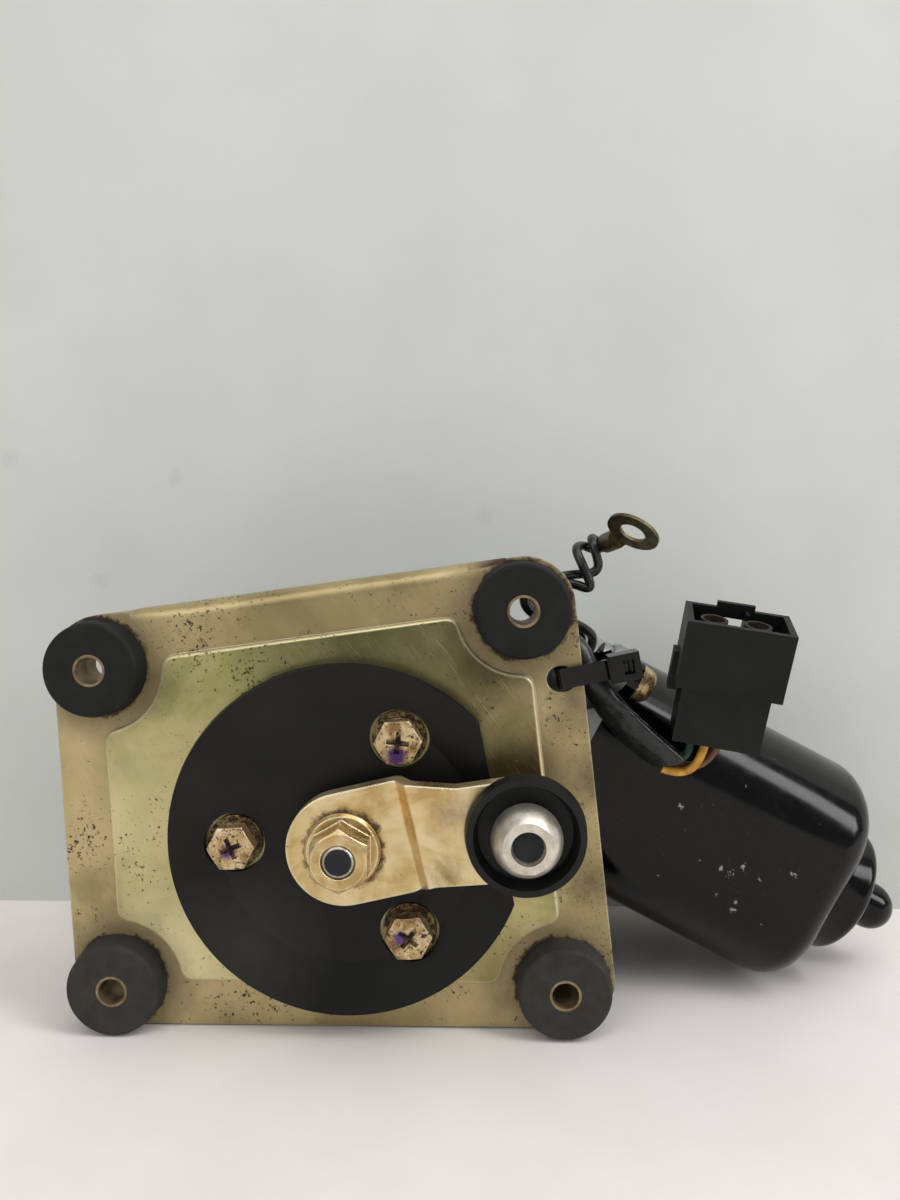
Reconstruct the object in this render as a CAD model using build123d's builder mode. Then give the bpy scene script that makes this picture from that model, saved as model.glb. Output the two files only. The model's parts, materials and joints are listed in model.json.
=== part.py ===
from build123d import *
import os
from math import atan, cos, degrees, pi, radians, sin, sqrt, tan

os.makedirs("parts", exist_ok=True)

# A two-speed windscreen wiper motor with a worm gearbox, its mounting plate and its crank.
# Lengths in millimetres, angles in degrees. +Z is up, and the plate faces -Y.
# Heights on the front frame are measured forwards, out of the face of the plate's border.

# Where the output shaft's axis meets that face, so that the whole stands on Z = 0
# with the middle of its length and depth over the origin.
shaft_x = -38.58
plate_y = -19.4
shaft_z = 49.85

# Mounting plate: pressed steel with a raised panel and a flange rolled back along its top
# how far shapes that are joined run into each other
join = 1.0
plate_thick = 2.0
panel_rise = 1.8
panel_corner = 3.5
plate_corner = 12.0
corner_shift = (0.75, 0.65)
rolled_radius = 3.6
roll_tight = 2.4
roll_run = 12.0
flange_depth = 8.0
flange_start = 9.0
flange_end = 3.0
flange_room = 0.3
slot_at = (51.4, 38.3)
slot_length = 7.0
slot_width = 6.3

# Rubber bushes in the plate's corners, and the steel sleeves that the bolts pass through
bush_at = {
    "top_left": (-60.8, 40.8),
    "top_right": (41.9, 55.1),
    "bottom_left": (-57.8, -38.1),
    "bottom_right": (52.6, -37.8),
}
bush_radius = 11.75
bush_face_radius = 11.3
bush_reach = 5.9
bush_back = 5.8
bush_groove = 8.0
bush_round = 1.0
bush_seat_radius = 15.6
sleeve_outer = 3.85
sleeve_bore = 3.25

# Sealing disc: a dished rubber washer with one straight side
disc_radius = 42.95
disc_flat_at = 36.5
disc_flat_turn = 11.0
disc_thick = 1.8
disc_lip_from = 31.5
disc_dish_from = 30.9
disc_lip_thick = 1.3
disc_rim_height = 7.2
disc_centre_hole = 10.8
disc_screw_hole = 7.3
disc_lip_round = 0.4

# Screws that hold the gearbox to the plate
screw_circle_radius = 27.4
screw_first = 62.8
screw_count = 3
screw_radius = 3.0
screw_room = 0.3
screw_length = 16.0
screw_hole_depth = 12.5
clearance_hole = 0.3
head_flats = 10.0
head_height = 3.6
head_top_radius = 4.9
head_bevel = 25.0
cross_length = 5.4
cross_depth = 2.2
cross_width = 1.3
cross_turn = 20.0
washer_radius = 6.6
washer_thick = 1.2
spring_washer_radius = 5.2
spring_washer_thick = 1.5
spring_washer_split = 0.8
thread_gap = 0.05

# Crank
crank_turn = 8.1
crank_lean = 4.9
crank_length = 42.4
crank_thick = 4.0
crank_bottom = 7.5
crank_step = 3.5
step_from = 15.5
step_to = 17.9
joggle_lag = 1.3
joggle_round = 1.0
crank_nut_end = 13.4
crank_ball_end = 12.0
crank_waist_at = 29.0
crank_waist = 9.4
crank_neck_from = 14.5
crank_neck_at = 18.5
crank_neck = 11.9
crank_flank_round = 6.0
shaft_taper_narrow = 4.2
nut_flats = 13.0
nut_height = 8.0
nut_flange_radius = 8.9
nut_flange_thick = 1.6
nut_bevel = 0.9
nut_top_radius = 6.2
nut_skirt_rise = 2.6
stud_radius = 4.0
shaft_tip_chamfer = 0.7

# Ball joint on the crank
ball_radius = 8.0
ball_flat = 5.7
pin_radius = 3.8
pin_below_flat = 1.3
pin_head_radius = 6.0
pin_head_chamfer = 1.0
pin_chamfer = 0.5
pin_head_thick = 2.0
boot_radius = 13.8
boot_lip_radius = 13.4
boot_height = 5.0
boot_wall = 1.5
boot_floor = 1.2
boot_hole = 6.7

# Gearing: a single-start worm on the armature shaft and a plastic wheel
module = 1.25
wheel_teeth = 51
worm_pitch_radius = 5.725
worm_turns = 6
worm_run_out = 1.0
thread_root_in = 0.3
worm_addendum = 1.05
worm_dedendum = 1.4
wheel_addendum = 1.05
wheel_dedendum = 1.45
wheel_width = 9.0
wheel_hub_radius = 10.0
wheel_hub_length = 2.5
wheel_rim_radius = 27.0
wheel_web = 3.0
wheel_ribs = 6
wheel_rib_thick = 3.0
thread_share = 0.40
tooth_share = 0.44
flank_slope = tan(radians(14.5))

# The motor's axis: its depth behind the plate's face, and how far it slopes down
motor_depth = 36.2
motor_slope = 27.7

# Output shaft and its bearings
shaft_radius = 5.0
shaft_end_out = 2.0
bearing_wall = 2.0
running_gap = 0.03
boss_radius = 10.0
boss_room = 0.5
boss_chamfer = 0.6
boss_front = 5.2
boss_flare_from = 14.0
boss_flare_radius = 17.0
front_bearing_length = 14.0
rear_bearing_length = 12.0
circlip_radius = 7.6
circlip_thick = 1.0
shim_radius = 8.6
shim_thick = 0.8
shim_play = 0.1
groove_depth = 0.5

# Gear housing: die-cast aluminium pot, worm tunnel and bell for the motor
wheel_room = 1.375
pot_wall = 2.7
pot_front = 25.0
pot_floor = 4.0
pot_back = 46.5
cover_room = 0.5
leg_radius = 7.0
rib_thick = 3.0
rib_from = 6.0
tunnel_radius = 12.5
tunnel_bore = 8.2
tunnel_end = -31.0
bell_start = 12.0
tunnel_into_bell = 2.0
bell_full = 33.0
joint_at = 43.5
bell_small_wide = 27.0
bell_small_deep = 23.0
brush_pocket_radius = 21.0
brush_pocket_depth = 7.5
end_bearing_from = -25.0
end_bearing_length = 10.0
inner_bearing_from = 21.0
inner_bearing_length = 12.0
worm_bearing_radius = 7.0
cover_lug_out = 2.5
cover_lug_radius = 4.2
cover_lug_first = 130.0
cover_lug_step = 66.7
cover_lug_count = 4
cover_lug_thick = 7.0

# Cover, gasket and park switch
gasket_thick = 0.8
cover_thick = 1.2
cover_dome = 4.0
cover_rim = 7.0
cover_screw_radius = 2.0
cover_screw_depth = 8.0
cover_head_radius = 3.8
cover_cross_length = 4.6
cover_cross_width = 1.0
cover_head_height = 2.4
contact_board_radius = 24.0
contact_board_thick = 1.6
contact_gap = 0.3
contact_leaf = 0.4
contact_width = 3.0
contact_reach = 14.0
contact_levels = (-15.0, -9.0, 6.0)
park_disc_radius = 19.0
park_disc_thick = 1.0
park_notch = 5.0

# Yoke: deep-drawn steel, round with two flats, a stepped end and two ears
yoke_wide = 63.5
yoke_flat_room = 2.1
yoke_wall = 2.4
yoke_end = 122.3
yoke_end_round = 6.0
end_step_radius = 17.75
end_step_length = 10.2
end_step_round = 2.5
ear_out = 5.05
ear_first = 132.0
ear_radius = 5.0
ear_root = 4.75
ear_thick = 3.0
ear_lug_from = 35.0
ear_relief = 14.0
ear_screw_radius = 2.5
ear_screw_length = 6.5
ear_head_radius = 4.5
ear_head_height = 3.4
ear_head_round = 2.2
ear_cross_length = 5.4
ear_cross_depth = 2.0
ear_washer_radius = 4.7
ear_washer_thick = 1.0
cap_radius = 6.5
cap_neck = 4.4
cap_reach = 16.0

# Inside the motor
magnet_thick = 7.05
air_gap = 0.8
magnet_from = 63.0
magnet_length = 40.0
magnet_half_angle = 50.0
armature_from = 66.0
armature_length = 34.0
armature_slots = 12
slot_mouth = 1.8
slot_pocket_radius = 2.9
slot_pocket_at = 15.8
winding_radius = 19.0
winding_length = 5.0
winding_round = 2.0
motor_shaft_radius = 4.0
motor_shaft_room = 1.0
commutator_radius = 11.0
commutator_from = 46.6
commutator_length = 12.4
bar_gap = 0.6
yoke_bearing_radius = 8.0
yoke_bearing_length = 9.0
retainer_thick = 1.0
retainer_step = 3.0
end_play = 0.3
brush_plate_from = 44.0
brush_plate_thick = 2.0
brush_plate_gap = 0.2
brush_plate_room = 2.0
brush_box_high = 8.0
brush_box_wide = 8.4
brush_box_wall = 0.8
brush_box_from = 12.0
brush_box_length = 10.0
brush_gap = 0.1
brush_length = 6.5
brush_crown = 1.0
brush_angles = {"common": 180.0, "low_speed": 0.0, "high_speed": 60.0}
spring_thick = 0.4
spring_folds = 4
spring_swing = 2.4
thrust_screw_radius = 4.0
thrust_screw_length = 15.0
thrust_gap = 0.5
thrust_nut_flats = 13.0
thrust_nut_height = 4.0

# Loom: grommet, sleeve, cable tie, wires and earth leads
grommet_seat = (45.5, 16.6, 41.5)
grommet_points = (0.62, -0.62, 0.48)
grommet_boss = 7.4
grommet_boss_length = 16.0
grommet_flange = 6.2
grommet_flange_thick = 1.5
grommet_neck = 4.8
grommet_neck_length = 8.0
grommet_nose = 4.2
grommet_nose_step = 0.6
grommet_nose_length = 3.0
grommet_way_in = 14.0
grommet_exit = 5.6
grommet_room = 0.4
loom_diameter = 7.0
wire_diameter = 2.1
wire_gap = 0.1
lead_diameter = 2.4
tie_width = 4.8
tie_thick = 1.2
tie_at = (51.4, 0, 38.5)
tie_tilt = 12.0
tie_loop = [(-0.6, -1.2), (12.6, -1.2), (12.6, 12.4), (1.4, 12.4), (-0.6, 4.0)]
tie_bend = 2.0
tie_head = (7.2, 4.8, 6.6)
tie_head_along = (11.6, 1.2)
tie_room = 0.5
tie_window = (2.6, 3.4)
tie_window_at = 4.3

# Connector, standing on its wires: its mouth's centre and the way it leans
mouth_at = (92.85, -2.5, 53.3)
mouth_across = (0.976, -0.166, -0.142)
mouth_up = (0.0965, -0.2535, 0.9625)
shell_wide = 24.4
shell_deep = 15.2
shell_long = 16.8
shell_wall = 1.5
shell_cavity = 15.0
body_wide = 20.4
body_deep = 12.6
body_shift = (-0.3, -0.3)
connector_long = 31.2
hood_wide = 8.9
hood_deep = 1.4
hood_rise = 1.4
hood_at = -0.4
window_wide = 5.5
window_at = -1.0
window_drop = 2.3
window_high = 5.0
divider_thick = 0.9
divider_at = 2.2
divider_deep = 3.0
latch_at = 2.0
latch_wide = 4.5
latch_out = 1.2
latch_from = 10.6
latch_long = 10.0
terminal_radius = 3.2
terminal_wall = 0.7
terminal_spots = [(-5.7, -0.8), (4.3, -0.8)]
terminal_below = 0.8
terminal_long = 14.0
terminal_stem = 10.0

# Ring terminal on the earth leads
ring_at = (69.0, 4.5, 73.9)
ring_along = (0.385, -0.89, 0.232)
ring_faces = (-0.486, -0.409, -0.772)
ring_radius = 6.6
ring_hole = 3.25
ring_thick = 0.8
ring_neck = 5.0
barrel_radius = 2.55
barrel_length = 5.0
barrel_from = 7.2
barrel_exit = 4.5

# Routes of the loose wiring, on the plate's frame: (along, behind the face, up from the shaft)
loom_route = [
    (56.4, 7.9, 44.8), (58.2, 6.2, 39.2), (61.0, 5.0, 34.2),
    (64.6, 5.2, 29.2), (70.6, 5.6, 23.4), (78.6, 5.8, 16.6),
]
earth_route_upper = [
    (61.2, 21.8, 42.4), (62.2, 19.2, 46.0), (58.6, 15.6, 49.2), (53.4, 13.2, 51.4),
    (47.4, 10.6, 51.4), (42.4, 9.6, 55.4), (43.6, 9.8, 60.6), (54.6, 14.8, 62.2),
    (62.8, 15.4, 63.4), (59.9, 13.2, 72.4), (60.2, 18.4, 73.7),
]
earth_route_lower = [
    (58.5, 21.8, 43.7), (59.4, 20.6, 46.0), (55.6, 19.2, 49.4), (50.8, 16.6, 51.4),
    (45.4, 14.0, 53.6), (43.4, 13.8, 57.0), (46.6, 14.2, 59.4), (52.4, 14.0, 59.4),
    (58.2, 12.0, 58.4), (59.6, 11.4, 62.6), (55.9, 14.2, 69.4), (58.9, 20.6, 70.2),
]
# where each wire starts on the sleeve's end, its bends, and where it enters the connector
wire_routes = {
    "wire_green": ((0, 2.2), [(82.3, 5.8, 17.4), (84.3, 6.4, 20.0)], (-5.9, 1.0)),
    "wire_yellow": ((0, -2.2), [(81.6, 5.4, 13.4), (86.8, 5.7, 16.6)], (-1.8, -0.6)),
    "wire_brown": ((2.2, 0.3), [(83.6, 7.6, 14.4), (90.2, 8.2, 16.6)], (2.2, 2.4)),
}

# Worked out from the sizes above
wheel_pitch_radius = module * wheel_teeth / 2
gear_distance = wheel_pitch_radius + worm_pitch_radius
worm_lead = pi * module
lead_angle = degrees(atan(worm_lead / (2 * pi * worm_pitch_radius)))
screw_seat = panel_rise
panel_back = panel_rise - plate_thick
crank_top = crank_bottom + crank_thick
ball_seat = crank_top + crank_step
ball_height = ball_seat + ball_flat
wheel_front = motor_depth - wheel_width / 2
wheel_back = motor_depth + wheel_width / 2
pot_radius = wheel_pitch_radius + wheel_addendum + wheel_room + pot_wall
cover_dome_radius = pot_radius - cover_rim
cover_seat = pot_back + gasket_thick
shaft_back = wheel_back + shaft_end_out
end_wall = yoke_end + end_step_length - yoke_wall
ear_circle_radius = yoke_wide / 2 + ear_out
magnet_inner = yoke_wide / 2 - yoke_wall - magnet_thick
armature_radius = magnet_inner - air_gap
yoke_deep = 2 * (armature_radius + yoke_flat_room + yoke_wall)
circlip_seat = boss_front + 2 * shim_play + shim_thick

slope = radians(motor_slope)
along_motor = Vector(cos(slope), 0, -sin(slope))
off_motor = Vector(sin(slope), 0, cos(slope))

front = Plane(origin=(shaft_x, plate_y, shaft_z), x_dir=(1, 0, 0), z_dir=(0, -1, 0))
motor = Plane(
    origin=front.origin + off_motor * gear_distance + Vector(0, motor_depth, 0),
    x_dir=(0, 1, 0),
    z_dir=along_motor,
)
crank_way = Vector(cos(radians(crank_turn)), 0, sin(radians(crank_turn)))
crank_frame = Plane(origin=front.origin, x_dir=crank_way, z_dir=front.z_dir)
tie_frame = Plane(
    origin=front.origin + Vector(*tie_at),
    x_dir=(cos(radians(tie_tilt)), 0, sin(radians(tie_tilt))),
    z_dir=(-sin(radians(tie_tilt)), 0, cos(radians(tie_tilt))),
)
grommet_face = Plane(
    origin=front.origin + Vector(*grommet_seat), x_dir=(0, 0, 1), z_dir=grommet_points
)


def at(x, y, z):
    """A point of the plate's frame in the part's frame."""
    return Vector(shaft_x + x, plate_y + y, shaft_z + z)


def turned(plane, angle):
    """The same plane with its x axis turned about its normal."""
    return Plane(plane.location * Location((0, 0, 0), (0, 0, angle)))


def profile_of(plane):
    """The plane that holds a turned profile: radius along X, height along Y."""
    return Plane(origin=plane.origin, x_dir=plane.x_dir, z_dir=-plane.y_dir)


def axis_of(plane):
    return Axis(plane.origin, plane.z_dir)


def double_d(wide, deep):
    """A circle with two flats that face the plate and away from it."""
    Circle(wide / 2)
    Rectangle(deep, wide, mode=Mode.INTERSECT)


def ear_shapes():
    """The two ears at opposite corners of the motor's joint."""
    with PolarLocations(ear_circle_radius - (ear_out + ear_root) / 2, 2, start_angle=ear_first):
        SlotCenterToCenter(ear_out + ear_root, 2 * ear_radius)


def ear_spots():
    return PolarLocations(ear_circle_radius, 2, start_angle=ear_first)


def screw_spots():
    return PolarLocations(screw_circle_radius, screw_count, start_angle=screw_first)


def cover_spots():
    """Places round the pot's rear rim that keep clear of the worm tunnel and the bell."""
    return [
        (
            (pot_radius + cover_lug_out) * cos(radians(cover_lug_first + cover_lug_step * k)),
            (pot_radius + cover_lug_out) * sin(radians(cover_lug_first + cover_lug_step * k)),
        )
        for k in range(cover_lug_count)
    ]


def plate_corners():
    return [(x + corner_shift[0], z + corner_shift[1]) for x, z in bush_at.values()]


def in_order(corners):
    """Corners of the plate once round: the two upper ones, then the two lower ones back."""
    return [corners[0], corners[1], corners[3], corners[2]]


def bend_radii(points):
    """As large an arc at each corner of a route as its two runs allow."""
    radii = []
    for before, here, after in zip(points, points[1:], points[2:]):
        run_in = here - before
        run_out = after - here
        turn = radians(run_in.get_angle(run_out))
        radii.append(0.45 * min(run_in.length, run_out.length) / tan(turn / 2))
    return radii


def save(builder, name):
    builder.part.label = name
    export_step(builder.part, f"parts/{name}.step")


# Mounting plate
with BuildPart() as mounting_plate:
    with BuildSketch(front):
        with Locations(*plate_corners()):
            Circle(plate_corner)
        make_hull()
    extrude(amount=-plate_thick)
    with BuildSketch(front.offset(-plate_thick)) as panel_shape:
        Polygon(*in_order(plate_corners()), align=None)
        with Locations(*bush_at.values()):
            Circle(bush_seat_radius, mode=Mode.SUBTRACT)
        fillet(panel_shape.vertices(), panel_corner)
    extrude(amount=plate_thick + panel_rise)
    panel_edges = mounting_plate.faces().sort_by(Axis.Y)[0].edges()
    fillet(panel_edges, plate_thick / 2)
    with BuildSketch(front.offset(-plate_thick)):
        add(panel_shape.sketch_local)
        offset(amount=-plate_thick)
    extrude(amount=panel_rise, mode=Mode.SUBTRACT)
    # the flange, rolled back from the border along the top edge
    top_left, top_right = [front.from_local_coords((x, z, 0)) for x, z in plate_corners()[:2]]
    edge_way = (top_right - top_left).normalized()
    edge_out = edge_way.cross(Vector(0, 1, 0))
    edge_from = top_left + edge_out * plate_corner + edge_way * flange_start
    edge_length = (top_right - top_left).length - flange_start - flange_end
    rolled = Plane(origin=edge_from, x_dir=(0, 1, 0), z_dir=edge_way)
    stations = [
        (0, roll_tight), (roll_run, rolled_radius),
        (edge_length - roll_run, rolled_radius), (edge_length, roll_tight),
    ]
    for pair in zip(stations, stations[1:]):
        for distance, radius in pair:
            with BuildSketch(rolled.offset(distance)):
                with Locations((plate_thick / 2, -radius / 2)):
                    Rectangle(plate_thick + join, radius)
        loft(ruled=True, mode=Mode.SUBTRACT)
        for distance, radius in pair:
            with BuildSketch(rolled.offset(distance)):
                with BuildLine():
                    CenterArc((radius, -radius), radius, 90, 90)
                    CenterArc((radius, -radius), radius - plate_thick, 90, 90)
                    Line((0, -radius), (plate_thick, -radius))
                    Polyline((radius, 0), (flange_depth, 0), (flange_depth, -plate_thick),
                             (radius, -plate_thick))
                make_face()
        loft(ruled=True)
    with BuildSketch(front.offset(-plate_thick)):
        with Locations(*bush_at.values()):
            Circle(bush_radius + flange_room)
    extrude(amount=-flange_depth, mode=Mode.SUBTRACT)
    with BuildSketch(front):
        with Locations(*bush_at.values()):
            Circle(bush_groove)
        Circle(boss_radius + boss_room)
        with Locations(slot_at):
            SlotOverall(slot_length, slot_width, rotation=90 if slot_width > slot_length else 0)
    extrude(amount=-plate_thick, both=True, mode=Mode.SUBTRACT)
    with BuildSketch(front.offset(panel_rise)):
        with screw_spots():
            Circle(screw_radius + screw_room)
    extrude(amount=-plate_thick, mode=Mode.SUBTRACT)
save(mounting_plate, "mounting_plate")

# Rubber bushes and their sleeves
for corner, spot in bush_at.items():
    seat = Plane(origin=front.from_local_coords((*spot, 0)), x_dir=front.x_dir, z_dir=front.z_dir)
    with BuildPart() as bush:
        with BuildSketch(profile_of(seat)) as ring:
            Polygon(
                (sleeve_outer, -bush_back), (bush_face_radius, -bush_back),
                (bush_radius, -plate_thick), (bush_groove, -plate_thick), (bush_groove, 0),
                (bush_radius, 0), (bush_face_radius, bush_reach), (sleeve_outer, bush_reach),
                align=None,
            )
            rim = ring.vertices().filter_by_position(
                Axis.X, bush_face_radius - 0.1, bush_face_radius + 0.1
            )
            fillet(rim, bush_round)
        revolve(axis=axis_of(seat))
    save(bush, f"bush_{corner}")

with BuildPart() as bush_sleeves:
    with BuildSketch(front.offset(bush_reach)):
        with Locations(*bush_at.values()):
            Circle(sleeve_outer)
            Circle(sleeve_bore, mode=Mode.SUBTRACT)
    extrude(amount=-(bush_reach + bush_back))
save(bush_sleeves, "bush_sleeves")

# Sealing disc
with BuildPart() as sealing_disc:
    with BuildSketch(profile_of(front)):
        Polygon(
            (0, panel_rise), (disc_lip_from, panel_rise),
            (disc_radius, disc_rim_height - disc_lip_thick),
            (disc_radius - disc_lip_round, disc_rim_height),
            (disc_dish_from, panel_rise + disc_thick), (0, panel_rise + disc_thick),
            align=None,
        )
    revolve(axis=axis_of(front))
    with BuildSketch(turned(front, disc_flat_turn)):
        with Locations((disc_flat_at + disc_radius / 2, 0)):
            Rectangle(disc_radius, 2 * disc_radius)
    extrude(amount=disc_radius / 2, mode=Mode.SUBTRACT)
    with BuildSketch(front):
        Circle(disc_centre_hole)
        with screw_spots():
            Circle(disc_screw_hole)
    extrude(amount=disc_radius / 2, mode=Mode.SUBTRACT)
save(sealing_disc, "sealing_disc")

# The three screws with their plain and spring washers
with BuildPart() as plate_washers:
    with BuildSketch(front.offset(screw_seat)):
        with screw_spots():
            Circle(washer_radius)
            Circle(screw_radius + clearance_hole, mode=Mode.SUBTRACT)
    extrude(amount=washer_thick)
save(plate_washers, "plate_washers")

with BuildPart() as plate_spring_washers:
    with BuildSketch(front.offset(screw_seat + washer_thick)):
        with screw_spots():
            Circle(spring_washer_radius)
            Circle(screw_radius + clearance_hole, mode=Mode.SUBTRACT)
            with Locations((spring_washer_radius / 2 + join, 0)):
                Rectangle(spring_washer_radius, spring_washer_split, rotation=15,
                          mode=Mode.SUBTRACT)
    extrude(amount=spring_washer_thick)
save(plate_spring_washers, "plate_spring_washers")

head_seat = screw_seat + washer_thick + spring_washer_thick
with BuildPart() as plate_screws:
    with BuildSketch(front.offset(head_seat)):
        with screw_spots():
            RegularPolygon(head_flats / 2, 6, major_radius=False)
    extrude(amount=head_height)
    with BuildSketch(front.offset(head_seat)):
        with screw_spots():
            Circle(head_top_radius + head_height * tan(radians(90 - head_bevel)))
    extrude(amount=head_height, taper=90 - head_bevel, mode=Mode.INTERSECT)
    with BuildSketch(front.offset(head_seat + head_height)):
        with screw_spots():
            Rectangle(cross_length, cross_width, rotation=cross_turn)
            Rectangle(cross_width, cross_length, rotation=cross_turn)
    extrude(amount=-cross_depth, mode=Mode.SUBTRACT)
    with BuildSketch(front.offset(head_seat)):
        with screw_spots():
            Circle(screw_radius)
    extrude(amount=-screw_length)
save(plate_screws, "plate_screws")

# Gear housing
with BuildPart() as gear_housing:
    with BuildSketch(front.offset(-pot_front)):
        Circle(pot_radius)
    extrude(amount=-(pot_back - pot_front))
    with BuildSketch(front.offset(-pot_back)):
        with Locations(*cover_spots()):
            Circle(cover_lug_radius)
    extrude(amount=cover_lug_thick)
    with BuildSketch(profile_of(front)):
        Polygon(
            (0, boss_front),
            (boss_radius - boss_chamfer, boss_front), (boss_radius, boss_front - boss_chamfer),
            (boss_radius, -boss_flare_from), (boss_flare_radius, -pot_front - join),
            (0, -pot_front - join),
            align=None,
        )
    revolve(axis=axis_of(front))
    with BuildSketch(front.offset(panel_back)):
        with screw_spots():
            Circle(leg_radius)
    extrude(amount=-(pot_front + panel_back + join))
    with BuildSketch(front.offset(-rib_from)):
        with PolarLocations(screw_circle_radius / 2, screw_count, start_angle=screw_first):
            Rectangle(screw_circle_radius, rib_thick)
    extrude(amount=-(pot_front - rib_from + join))
    # worm tunnel, opening out to the motor's section
    with BuildSketch(motor.offset(tunnel_end)):
        Circle(tunnel_radius)
    extrude(amount=bell_start + tunnel_into_bell - tunnel_end)
    with BuildSketch(motor.offset(bell_start)):
        double_d(bell_small_wide, bell_small_deep)
    with BuildSketch(motor.offset(bell_full)):
        double_d(yoke_wide, yoke_deep)
    loft()
    with BuildSketch(motor.offset(bell_full)):
        double_d(yoke_wide, yoke_deep)
    extrude(amount=joint_at - bell_full)
    with BuildSketch(motor.offset(ear_lug_from)):
        ear_shapes()
    extrude(amount=joint_at - ear_lug_from)
    with BuildSketch(tie_frame.offset(tie_width / 2 + tie_room)):
        Polygon(
            (0, 0), (tie_loop[1][0] + tie_thick + tie_room, 0),
            (tie_loop[1][0] + tie_thick + tie_room, tie_loop[2][1] + tie_thick + tie_room),
            (0, tie_loop[2][1] + tie_thick + tie_room),
            align=None,
        )
    extrude(amount=-ear_relief, mode=Mode.SUBTRACT)
    with BuildSketch(grommet_face):
        Circle(grommet_boss)
    extrude(amount=-grommet_boss_length)
    with BuildSketch(grommet_face):
        Circle(grommet_flange + grommet_room)
    extrude(amount=grommet_exit, mode=Mode.SUBTRACT)
    # room for the cover, the wheel, the worm and the motor's end
    with BuildSketch(front.offset(-pot_back)):
        Circle(pot_radius + cover_room)
        with Locations(*cover_spots()):
            Circle(cover_lug_radius + cover_room)
    extrude(amount=-pot_back, mode=Mode.SUBTRACT)
    with BuildSketch(front.offset(-(pot_front + pot_floor))):
        Circle(pot_radius - pot_wall)
    extrude(amount=-pot_back, mode=Mode.SUBTRACT)
    with BuildSketch(motor.offset(end_bearing_from + end_bearing_length)):
        Circle(tunnel_bore)
    extrude(
        amount=inner_bearing_from - end_bearing_from - end_bearing_length, mode=Mode.SUBTRACT
    )
    with BuildSketch(motor.offset(end_bearing_from)):
        Circle(worm_bearing_radius)
    extrude(
        amount=inner_bearing_from + inner_bearing_length - end_bearing_from, mode=Mode.SUBTRACT
    )
    with BuildSketch(motor.offset(tunnel_end)):
        Circle(thrust_screw_radius + thread_gap)
    extrude(amount=end_bearing_from - tunnel_end, mode=Mode.SUBTRACT)
    with BuildSketch(motor.offset(inner_bearing_from)):
        Circle(motor_shaft_radius + motor_shaft_room)
    extrude(amount=joint_at - inner_bearing_from, mode=Mode.SUBTRACT)
    with BuildSketch(motor.offset(joint_at)):
        Circle(brush_pocket_radius)
    extrude(amount=-brush_pocket_depth, mode=Mode.SUBTRACT)
    with BuildSketch(motor.offset(joint_at)):
        with ear_spots():
            Circle(ear_screw_radius + thread_gap)
    extrude(amount=-(joint_at - ear_lug_from), mode=Mode.SUBTRACT)
    # bores along the output shaft, screw holes and the loom's way in
    with BuildSketch(front.offset(boss_front)):
        Circle(shaft_radius + bearing_wall)
    extrude(amount=-(boss_front + pot_front + pot_floor), mode=Mode.SUBTRACT)
    with BuildSketch(front.offset(panel_back)):
        with screw_spots():
            Circle(screw_radius + thread_gap)
    extrude(amount=-screw_hole_depth, mode=Mode.SUBTRACT)
    with BuildSketch(front.offset(-pot_back)):
        with Locations(*cover_spots()):
            Circle(cover_screw_radius + thread_gap)
    extrude(amount=cover_lug_thick, mode=Mode.SUBTRACT)
    with BuildSketch(grommet_face):
        Circle(grommet_neck)
    extrude(amount=-grommet_neck_length, mode=Mode.SUBTRACT)
    with BuildSketch(grommet_face):
        Circle(loom_diameter / 2)
    extrude(amount=-grommet_way_in, mode=Mode.SUBTRACT)
save(gear_housing, "gear_housing")

# Bronze bushes of the output shaft and of the worm
shaft_bushes = {
    "front_shaft_bush": (boss_front, front_bearing_length),
    "rear_shaft_bush": (rear_bearing_length - pot_front - pot_floor, rear_bearing_length),
}
for name, (face, length) in shaft_bushes.items():
    with BuildPart() as shaft_bush:
        with BuildSketch(front.offset(face)):
            Circle(shaft_radius + bearing_wall)
            Circle(shaft_radius + running_gap, mode=Mode.SUBTRACT)
        extrude(amount=-length)
    save(shaft_bush, name)

worm_bushes = {
    "worm_end_bush": (end_bearing_from, end_bearing_length),
    "worm_inner_bush": (inner_bearing_from, inner_bearing_length),
}
for name, (start, length) in worm_bushes.items():
    with BuildPart() as worm_bush:
        with BuildSketch(motor.offset(start)):
            Circle(worm_bearing_radius)
            Circle(motor_shaft_radius + running_gap, mode=Mode.SUBTRACT)
        extrude(amount=length)
    save(worm_bush, name)

# Thrust screw at the worm's end, and its lock nut
with BuildPart() as thrust_screw:
    with BuildSketch(motor.offset(end_bearing_from - thrust_gap)):
        Circle(thrust_screw_radius)
    extrude(amount=-thrust_screw_length)
    with BuildSketch(motor.offset(end_bearing_from - thrust_gap - thrust_screw_length)):
        Rectangle(2 * thrust_screw_radius, cross_width)
    extrude(amount=cross_width, mode=Mode.SUBTRACT)
save(thrust_screw, "thrust_screw")

with BuildPart() as thrust_screw_nut:
    with BuildSketch(motor.offset(tunnel_end)):
        RegularPolygon(thrust_nut_flats / 2, 6, major_radius=False)
        Circle(thrust_screw_radius + thread_gap, mode=Mode.SUBTRACT)
    extrude(amount=-thrust_nut_height)
save(thrust_screw_nut, "thrust_screw_nut")

# Cover with its gasket, screws, contact board and park contacts
with BuildPart() as cover_gasket:
    with BuildSketch(front.offset(-pot_back)):
        Circle(pot_radius)
        with Locations(*cover_spots()):
            Circle(cover_lug_radius)
        Circle(pot_radius - pot_wall, mode=Mode.SUBTRACT)
        with Locations(*cover_spots()):
            Circle(cover_screw_radius + clearance_hole, mode=Mode.SUBTRACT)
    extrude(amount=-gasket_thick)
save(cover_gasket, "cover_gasket")

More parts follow.
